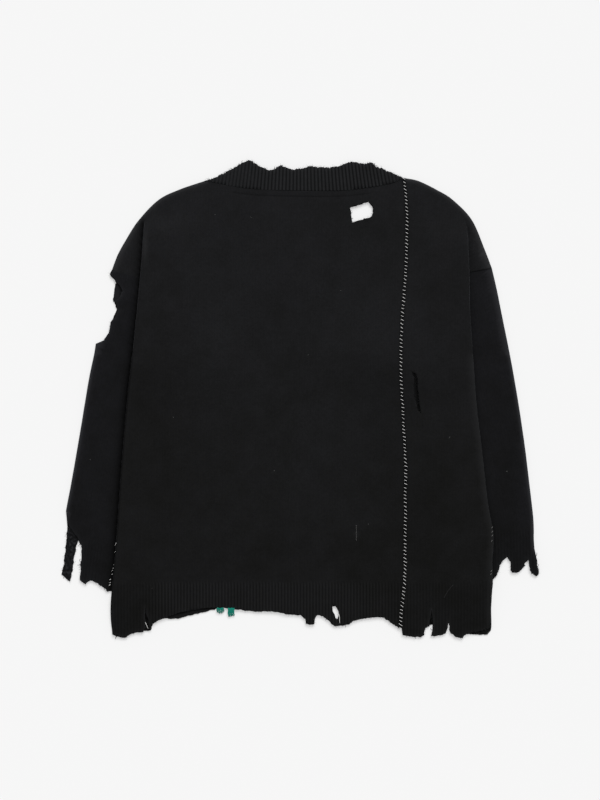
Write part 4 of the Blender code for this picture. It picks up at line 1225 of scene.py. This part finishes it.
class PULLOVER_OT_body(bpy.types.Operator):
    """Knit the back in its two parts and the front"""
    bl_idname = "pullover.body"
    bl_label = "Body"

    def execute(self, context):
        left, right = SIDES[LEFT], SIDES[RIGHT]
        wool = wool_finish("body_wool", colours().body)
        left_shoulder = unfolded(spline(LEFT_SHOULDER, SEAM_STEP))
        right_shoulder = unfolded(spline(RIGHT_SHOULDER, SEAM_STEP))
        left_edge = body_edge(left, BACK_HEM[0][1] + HEM_CORNER)
        right_edge = body_edge(right, SIDE_HEM[-1][1] + HEM_CORNER)
        neck_line = spline(BACK_NECK, NECK_STEP)
        back_neck = halves(neck_line)[1]
        front_neck = halves(spline(FRONT_NECK, SEAM_STEP))[1]
        side_seam, main_seam = halves(spline(PATCH_SEAM, PATCH_STEP))
        left_down = left_shoulder[1:-1] + halves(LEFT_ARM)[0] + left_edge
        right_up = right_edge[::-1] + halves(RIGHT_ARM)[1][::-1] + right_shoulder[::-1][1:-1]
        lines = fold_lines(left)
        side_lines = fold_lines(right)
        hem_ribs = rib_lines(HEM_BAND)
        linked = [[(x, h - LINKING_DROP + off) for x, h in neck_line[2:-2]] for off in LINKING_LINES]

        hem = torn(BACK_HEM)
        cut = back_neck[::-1][1:] + left_down + hem[:-1] + main_seam[::-1]
        holes = [torn(SQUARE_HOLE, True, HOLE_ROUGH), torn(HEM_HOLE, True, SMALL_HOLE_ROUGH)]
        inner_lines = [line for line in hem_ribs if line[0][0] < MAIN_RIBS_TO] + linked
        piece = cloth("back_main_knit", cut, 1, wool, holes=holes, lines=lines + inner_lines,
                      folds=[left_shoulder, left_edge], raw=[hem], seams=[LEFT_ARM, back_neck, main_seam],
                      level=[LEFT_ARM], band=HEM_BAND, relief=body_relief, curl=HEM_CURL)
        place(piece, "back_main", "body_knit", [cut] + holes, "folded", ["front"])
        hem = torn(SIDE_HEM)
        cut = side_seam + hem + right_up
        holes = [torn(SLIT, True, SLIT_ROUGH)]
        inner_lines = [line for line in hem_ribs if line[0][0] > SIDE_RIBS_FROM]
        piece = cloth("back_side_knit", cut, 1, wool, holes=holes, lines=side_lines + inner_lines,
                      folds=[right_edge, right_shoulder], raw=[hem], seams=[RIGHT_ARM, side_seam],
                      band=HEM_BAND, relief=body_relief, curl=HEM_CURL)
        place(piece, "back_side", "body_knit", [cut] + holes, "folded", ["front"])
        cut = front_neck[::-1][1:] + left_down + torn(FRONT_HEM) + right_up
        shade_lines = [shifted(line, gap) for line in OPENING_LINES.loops for gap in OPENING_GAPS]
        piece = cloth("front_knit", cut, -1, wool, lines=lines + side_lines + shade_lines,
                      folds=[left_shoulder, left_edge, right_edge, right_shoulder], grid=UNDER_GRID,
                      behind=behind_openings)
        place(piece, "front", "body_knit", [cut], "folded", ["sleeve_left_top", "sleeve_right_top"])
        return {"FINISHED"}


class PULLOVER_OT_neckband(bpy.types.Operator):
    """Knit the ribbed neckband, back and front"""
    bl_idname = "pullover.neckband"
    bl_label = "Neckband"

    def execute(self, context):
        wool = wool_finish("band_wool", colours().band)
        seam, top = halves(spline(BACK_NECK, NECK_STEP))[0], torn(BAND_TOP, jag=NECK_JAG)[::-1]
        cut = seam + top[1:-1]
        piece = cloth("neckband_back_knit", cut, 1, wool, lines=rib_lines(NECK_BAND), raw=[top],
                      seams=[seam], sunken=False, band=NECK_BAND, curl=NECK_CURL)
        place(piece, "neckband_back", "band_knit", [cut], "laid", ["neckband_front"])
        cut = halves(spline(FRONT_NECK, SEAM_STEP))[0] + torn(FRONT_BAND_INNER)[::-1][1:-1]
        piece = cloth("neckband_front_knit", cut, -1, wool, grid=BAND_GRID)
        place(piece, "neckband_front", "band_knit", [cut], "laid", [])
        return {"FINISHED"}


class PULLOVER_OT_sleeves(bpy.types.Operator):
    """Knit both halves of both sleeves, with their torn cuffs"""
    bl_idname = "pullover.sleeves"
    bl_label = "Sleeves"

    def execute(self, context):
        colour = colours().sleeve
        left, right = SIDES[LEFT], SIDES[RIGHT]
        taken = left.shift(0)
        band = {"top": LEFT_CUFF_RIB_TOP, "foot": 60.0, "pitch": 4.7, "lean": -0.1, "fan": 0.0,
                "x": (-331 - taken, -284 - taken), "deep": CUFF_VALLEY_SHADE}
        wool = wool_finish("left_wool", colour, lean=7.0, start=taken)
        self.sleeve(left, "left", LEFT_ARM, [LEFT_RIP_TOP, LEFT_RIP_UNDER], spline(LEFT_OUTER, SEAM_STEP),
                    [LEFT_CUFF_TOP, LEFT_CUFF_UNDER], band, wool)
        taken = right.shift(0)
        band = {"top": RIGHT_CUFF_RIB_TOP, "foot": 84.0, "pitch": 4.7, "lean": 0.02, "fan": 0.0,
                "x": (287 + taken, 354 + taken), "deep": CUFF_VALLEY_SHADE}
        wool = wool_finish("right_wool", colour, lean=-6.0, start=-taken)
        self.sleeve(right, "right", RIGHT_ARM, [[], []], spline(RIGHT_OUTER, SEAM_STEP),
                    [RIGHT_CUFF_TOP, RIGHT_CUFF_UNDER], band, wool)
        return {"FINISHED"}

    def sleeve(self, side, word, arm, rips, outer, cuffs, band, wool):
        """A flattened tube in two halves, cut along its outer fold and its underarm seam."""
        arm_sleeve = halves(arm)[1 if side.sign == LEFT else 0]
        underarm = underarm_seam(side)
        fold = unfolded(outer)
        inner = [p for p in underarm if p[1] < PLEAT_FOOT - FOLDS_GO_ON]
        for layer, rip, cuff in zip((1, -1), rips, cuffs):
            rip_line = unfolded(torn(rip)) if rip else []
            cuff_line = unfolded(torn(cuff))
            start = [] if rip else fold[:1]
            cut = rip_line[1:] + fold[len(start):] + cuff_line[:-1] + underarm[::-1][:-1] + arm_sleeve[::-1]
            top = layer == 1
            lines = fold_lines(side) + (rib_lines(band) if top else [])
            ripped = bool(rip) and not top
            if ripped:
                lines += [shifted(line, gap) for line in RIP_LINES.loops for gap in RIP_GAPS]
                strip = spline(LEFT_CUFF_UNDER[1:5], STRIP_STEP)
                lines += [unfolded([(x + off, h) for x, h in strip]) for off in STRIP_OFFSETS]
            node = "sleeve_" + word + ("_top" if top else "_under")
            piece = cloth(node + "_knit", cut, layer, wool, lines=lines, folds=[start + fold, inner],
                          raw=[cuff_line, rip_line] if rip else [cuff_line], seams=[arm_sleeve],
                          level=[arm_sleeve] if rip else [], band=band if top else None,
                          grid=None if top else UNDER_GRID, relief=sleeve_relief if top else plain,
                          curl=CUFF_CURL if top else 0.0, behind=behind_rip if ripped else None)
            under = "sleeve_" + word + "_under"
            place(piece, node, "sleeve_knit", [cut], "folded", [under] if top else [])


def on_back(x, h, lift=0.0):
    """A point on the upper face of the back."""
    outer = surface_point(x, h, 1, body_relief, HEM_BAND)[0]
    return outer + Vector((0, 0, lift * MM))


def on_sleeve(x, h, lift=0.0):
    """A point on the upper face of a sleeve, from where it is seen."""
    s = unfolded([(x, h)])[0][0]
    outer = surface_point(s, h, 1, sleeve_relief)[0]
    return outer + Vector((0, 0, lift * MM))


def whip_stitch(mesh, low, high, radius, rng):
    """One slanting hand stitch: up out of the cloth, over the seam and down again."""
    run = high - low
    lean = Vector((run.x, run.y, 0)).normalized()
    middle_lift = Vector((0, 0, radius * (1.1 + 0.5 * rng.random())))
    down = Vector((0, 0, -radius * 1.8))
    path = [low - lean * radius * 0.5 + down, low + Vector((0, 0, radius * 0.3))]
    path += [low.lerp(high, 0.3) + middle_lift, low.lerp(high, 0.7) + middle_lift]
    path += [high + Vector((0, 0, radius * 0.3)), high + lean * radius * 0.5 + down]
    smooth_path = []
    ends = [path[0]] + path + [path[-1]]
    for a, b, c, d in zip(ends, ends[1:], ends[2:], ends[3:]):
        for t in (0.0, 0.5):
            smooth_path.append((2 * b + (c - a) * t + (2 * a - 5 * b + 4 * c - d) * t * t
                                + (3 * b - a - 3 * c + d) * t ** 3) / 2)
    tube(mesh, smooth_path + [path[-1]], radius, STITCH_SIDES)


class PULLOVER_OT_darning(bpy.types.Operator):
    """Sew the off-white whip stitches of the darned seam and the cuffs"""
    bl_idname = "pullover.darning"
    bl_label = "Darning"

    def execute(self, context):
        rng = random.Random(sizes().seed)
        yarn = yarn_finish("darning_yarn", colours().darning)
        radius = sizes().stitch_radius * MM
        mesh = bmesh.new()
        h = PATCH_SEAM[0][1] - 1.0
        while h > PATCH_SEAM[-1][1] - 4.0:
            x = seam_x(h) + rng.uniform(-STITCH_WANDER, STITCH_WANDER)
            half = STITCH_HALF + rng.uniform(-STITCH_WANDER, STITCH_WANDER)
            drop = STITCH_DROP + rng.uniform(-0.35, 0.4)
            if h < STEEPER_BELOW:
                drop *= STEEPER_DROP
                half *= STEEPER_HALF
            whip_stitch(mesh, on_back(x - half, h + drop), on_back(x + half, h - drop), radius, rng)
            h -= sizes().stitch_pitch * rng.uniform(0.92, 1.12) * 1.03
        yarn_piece("darned_seam_stitches", mesh, yarn)
        mesh = bmesh.new()
        for x, h, half, rise, share in CUFF_STITCHES:
            ends = on_sleeve(x - half, h - rise), on_sleeve(x + half, h + rise)
            whip_stitch(mesh, *ends, radius * share, rng)
        for x, h, half, rise, share in RIM_STITCHES:
            ends = on_back(x - half, h - rise, -1.2), on_back(x + half, h + rise, -0.6)
            whip_stitch(mesh, *ends, radius * share, rng)
        for line in (SLIT_STRAND, HOLE_STRAND):
            tube(mesh, [on_back(x, h, lift) for x, h, lift in line], radius, STITCH_SIDES)
        yarn_piece("cuff_stitches", mesh, yarn)
        mesh = bmesh.new()
        for x, h in RIGHT_CUFF_STITCHES:
            whip_stitch(mesh, on_back(x - 0.9, h - 1.0), on_back(x + 0.5, h + 1.0), radius * 0.75, rng)
        dull = yarn_finish("soiled_yarn", [c * 0.3 for c in colours().darning])
        yarn_piece("soiled_stitches", mesh, dull)
        return {"FINISHED"}


def wander(start, way, length, steps, rng, curl, floor):
    """A loose fibre's path: it sets off one way and curls."""
    path = [start]
    turn = rng.uniform(-curl, curl)
    tip = rng.uniform(-curl, curl) * 0.4
    for _ in range(steps):
        angle = turn + rng.uniform(-0.3, 0.3) * curl
        way = Vector((way.x * math.cos(angle) - way.y * math.sin(angle),
                      way.x * math.sin(angle) + way.y * math.cos(angle), way.z + tip * 0.4)).normalized()
        p = path[-1] + way * (length / steps)
        p.z = max(p.z, floor)
        path.append(p)
    return path


def torn_places():
    """Torn edges: the line, the finder of its surface and how thick its hairs stand."""
    def band_point(x, h, lift=0.0):
        return surface_point(x, h, 1, plain)[0] + Vector((0, 0, lift * MM))

    def under_point(x, h, lift=0.0):
        s = unfolded([(x, h)])[0][0] if abs(x) > side_of(x).edge(h) else x
        return surface_point(s, h, -1, plain)[1] + Vector((0, 0, lift * MM))

    return [
        (torn(BACK_HEM), on_back, 1.0), (torn(SIDE_HEM), on_back, 1.2),
        (torn(BAND_TOP, jag=NECK_JAG), band_point, 2.2),
        (torn(SQUARE_HOLE, True, HOLE_ROUGH), on_back, 1.8),
        (torn(HEM_HOLE, True, SMALL_HOLE_ROUGH), on_back, 1.5),
        (torn(SLIT, True, SLIT_ROUGH), on_back, 1.5), (torn(LEFT_RIP_TOP), on_sleeve, 1.6),
        (torn(LEFT_CUFF_TOP)[:-HIDDEN_POINTS], on_sleeve, 1.6),
        (torn(RIGHT_CUFF_TOP)[:-HIDDEN_POINTS], on_sleeve, 1.6),
        (torn(LEFT_CUFF_UNDER)[:-HIDDEN_POINTS], under_point, 1.2),
    ]


class PULLOVER_OT_frays(bpy.types.Operator):
    """Add loose fibres, yarn ends, the green tuft and the small marks"""
    bl_idname = "pullover.frays"
    bl_label = "Frays"

    def execute(self, context):
        rng = random.Random(sizes().seed + 1)
        wool = yarn_finish("loose_wool", [c * 1.1 for c in colours().body])
        hairs = bmesh.new()
        ends = bmesh.new()
        edges = torn_places()
        weight = sum(len(line) * share for line, _, share in edges)
        for line, finder, share in edges:
            middle = Vector((sum(p[0] for p in line), sum(p[1] for p in line))) / len(line)
            for _ in range(round(sizes().hairs * len(line) * share / weight)):
                p = rng.choice(line)
                start = finder(p[0], p[1], rng.uniform(-2.0, 0.1))
                angle = rng.uniform(0, 2 * math.pi)
                way = Vector((math.cos(angle), math.sin(angle), rng.uniform(-0.2, 0.5))).normalized()
                path = wander(start, way, rng.uniform(*HAIR_LENGTH) * MM, 4, rng, 0.7, 0.0002)
                tube(hairs, path, rng.uniform(*HAIR_RADIUS) * MM, 3, 0.4)
            for _ in range(max(1, round(len(line) * share * ENDS_PER_POINT))):
                p = rng.choice(line)
                start = finder(p[0], p[1], -1.2)
                out = Vector((p[0] - middle.x, p[1] - middle.y, 0.0)).normalized()
                way = (out + Vector((rng.uniform(-0.8, 0.8), rng.uniform(-0.9, 0.5), 0.0))).normalized()
                path = wander(start, way, rng.uniform(*END_LENGTH) * MM, 6, rng, 0.8, 0.0006)
                tube(ends, path, rng.uniform(*END_RADIUS) * MM, 6, 0.6)
        yarn_piece("loose_fibres", hairs, wool)
        yarn_piece("broken_yarn_ends", ends, wool)
        self.tuft(rng)
        self.marks(rng)
        return {"FINISHED"}

    def tuft(self, rng):
        """Green yarn caught in the hem."""
        mesh = bmesh.new()
        top, sink = TUFT_LIFT
        for left, right, high, low, strands in TUFT:
            for k in range(strands):
                x = left + (right - left) * (k + 0.5) / strands
                path = []
                end = low + rng.uniform(-0.6, 1.4)
                for i in range(TUFT_STEPS + 1):
                    h = high - (high - end) * i / TUFT_STEPS
                    z = top - sink * (i / TUFT_STEPS) ** 2 + rng.uniform(0.0, 0.5)
                    sway = rng.uniform(-0.7, 0.7) * min(i, 3) / 3
                    path.append(Vector((x + sway, h - LENGTH / 2 + rng.uniform(-0.5, 0.5), z)) * MM)
                tube(mesh, path, TUFT_RADIUS * MM, 6, 0.8)
        yarn_piece("green_tuft", mesh, yarn_finish("green_yarn", colours().tuft))

    def marks(self, rng):
        """A pale scar, a floating yarn across the hem rib and specks of lint."""
        mesh = bmesh.new()
        for i in range(SCAR_MARKS):
            h = SCAR[1] + 11 - i * SCAR_PITCH
            path = [on_back(SCAR[0] + rng.uniform(-sway, sway), h - down, lift)
                    for sway, down, lift in ((0.3, 0.0, 0.02), (0.5, 1.0, 0.25), (0.3, 2.2, 0.02))]
            tube(mesh, path, SCAR_RADIUS * MM, 4)
        for x, h in LINT:
            start = on_back(x, h, 0.05) if abs(x) < side_of(x).edge(h) else on_sleeve(x, h, 0.05)
            way = Vector((rng.uniform(-1, 1), rng.uniform(-1, 1), 0.1)).normalized()
            path = wander(start, way, rng.uniform(*LINT_LENGTH) * MM, 4, rng, 0.9, 0.0)
            tube(mesh, path, LINT_RADIUS * MM, 4)
        yarn_piece("pale_lint", mesh, yarn_finish("pale_lint", (0.20, 0.20, 0.195)))
        mesh = bmesh.new()
        path = [on_back(x, h, 0.5) for x, h in spline(FLOAT_YARN, 3.0)]
        tube(mesh, path, FLOAT_RADIUS * MM, 6)
        yarn_piece("floating_yarn", mesh, yarn_finish("grey_yarn", (0.0118, 0.0118, 0.0122)))


class PULLOVER_OT_studio(bpy.types.Operator):
    """Set the floor, the soft studio light and the camera"""
    bl_idname = "pullover.studio"
    bl_label = "Studio"

    def execute(self, context):
        scene = context.scene
        scene.view_settings.view_transform = "Standard"
        mesh = bmesh.new()
        bmesh.ops.create_grid(mesh, x_segments=2, y_segments=2, size=FLOOR_HALF_SIZE)
        floor = new_piece("floor", mesh, floor_finish(colours().floor))
        floor.location.z = -UNDER_THE_CLOTH
        world = bpy.data.worlds.new("studio")
        world.use_nodes = True
        world.node_tree.nodes["Background"].inputs["Color"].default_value = (1.0, 1.0, 1.0, 1.0)
        world.node_tree.nodes["Background"].inputs["Strength"].default_value = SKY_GLOW
        scene.world = world
        lamp = bpy.data.lights.new("key", "SUN")
        lamp.energy = KEY_ENERGY
        lamp.angle = math.radians(KEY_SPREAD)
        holder = bpy.data.objects.new("key", lamp)
        holder.rotation_euler = (-Vector(KEY_FROM)).to_track_quat("-Z", "Y").to_euler()
        scene.collection.objects.link(holder)
        camera = bpy.data.objects.new("camera", bpy.data.cameras.new("camera"))
        camera.data.lens = CAMERA_LENS
        camera.data.clip_end = VIEW_END
        drop = FRAME_MM[1] * MM * CAMERA_LENS / SENSOR_SIDE
        camera.location = (PHOTO_MIDDLE[0] * MM, (PHOTO_MIDDLE[1] - LENGTH / 2) * MM, drop)
        scene.collection.objects.link(camera)
        scene.camera = camera
        return {"FINISHED"}


class PULLOVER_PT_panel(bpy.types.Panel):
    """Lists the steps"""
    bl_label = "Pullover"
    bl_idname = "PULLOVER_PT_panel"
    bl_space_type = "VIEW_3D"
    bl_region_type = "UI"
    bl_category = "Pullover"

    def draw(self, context):
        for group in (context.scene.pullover_sizes, context.scene.pullover_colours):
            for key in group.__annotations__:
                self.layout.prop(group, key)
        for step in STEPS:
            self.layout.operator(step.bl_idname)


STEPS = (PULLOVER_OT_body, PULLOVER_OT_neckband, PULLOVER_OT_sleeves, PULLOVER_OT_darning,
         PULLOVER_OT_frays, PULLOVER_OT_studio)
CLASSES = (PulloverSizes, PulloverColours) + STEPS + (PULLOVER_PT_panel,)


def register():
    for cls in CLASSES:
        bpy.utils.register_class(cls)
    bpy.types.Scene.pullover_sizes = PointerProperty(type=PulloverSizes)
    bpy.types.Scene.pullover_colours = PointerProperty(type=PulloverColours)


def unregister():
    del bpy.types.Scene.pullover_colours
    del bpy.types.Scene.pullover_sizes
    for cls in reversed(CLASSES):
        bpy.utils.unregister_class(cls)


def main():
    register()
    bpy.ops.pullover.body()
    bpy.ops.pullover.neckband()
    bpy.ops.pullover.sleeves()
    bpy.ops.pullover.darning()
    bpy.ops.pullover.frays()
    bpy.ops.pullover.studio()


if __name__ == "__main__":
    main()
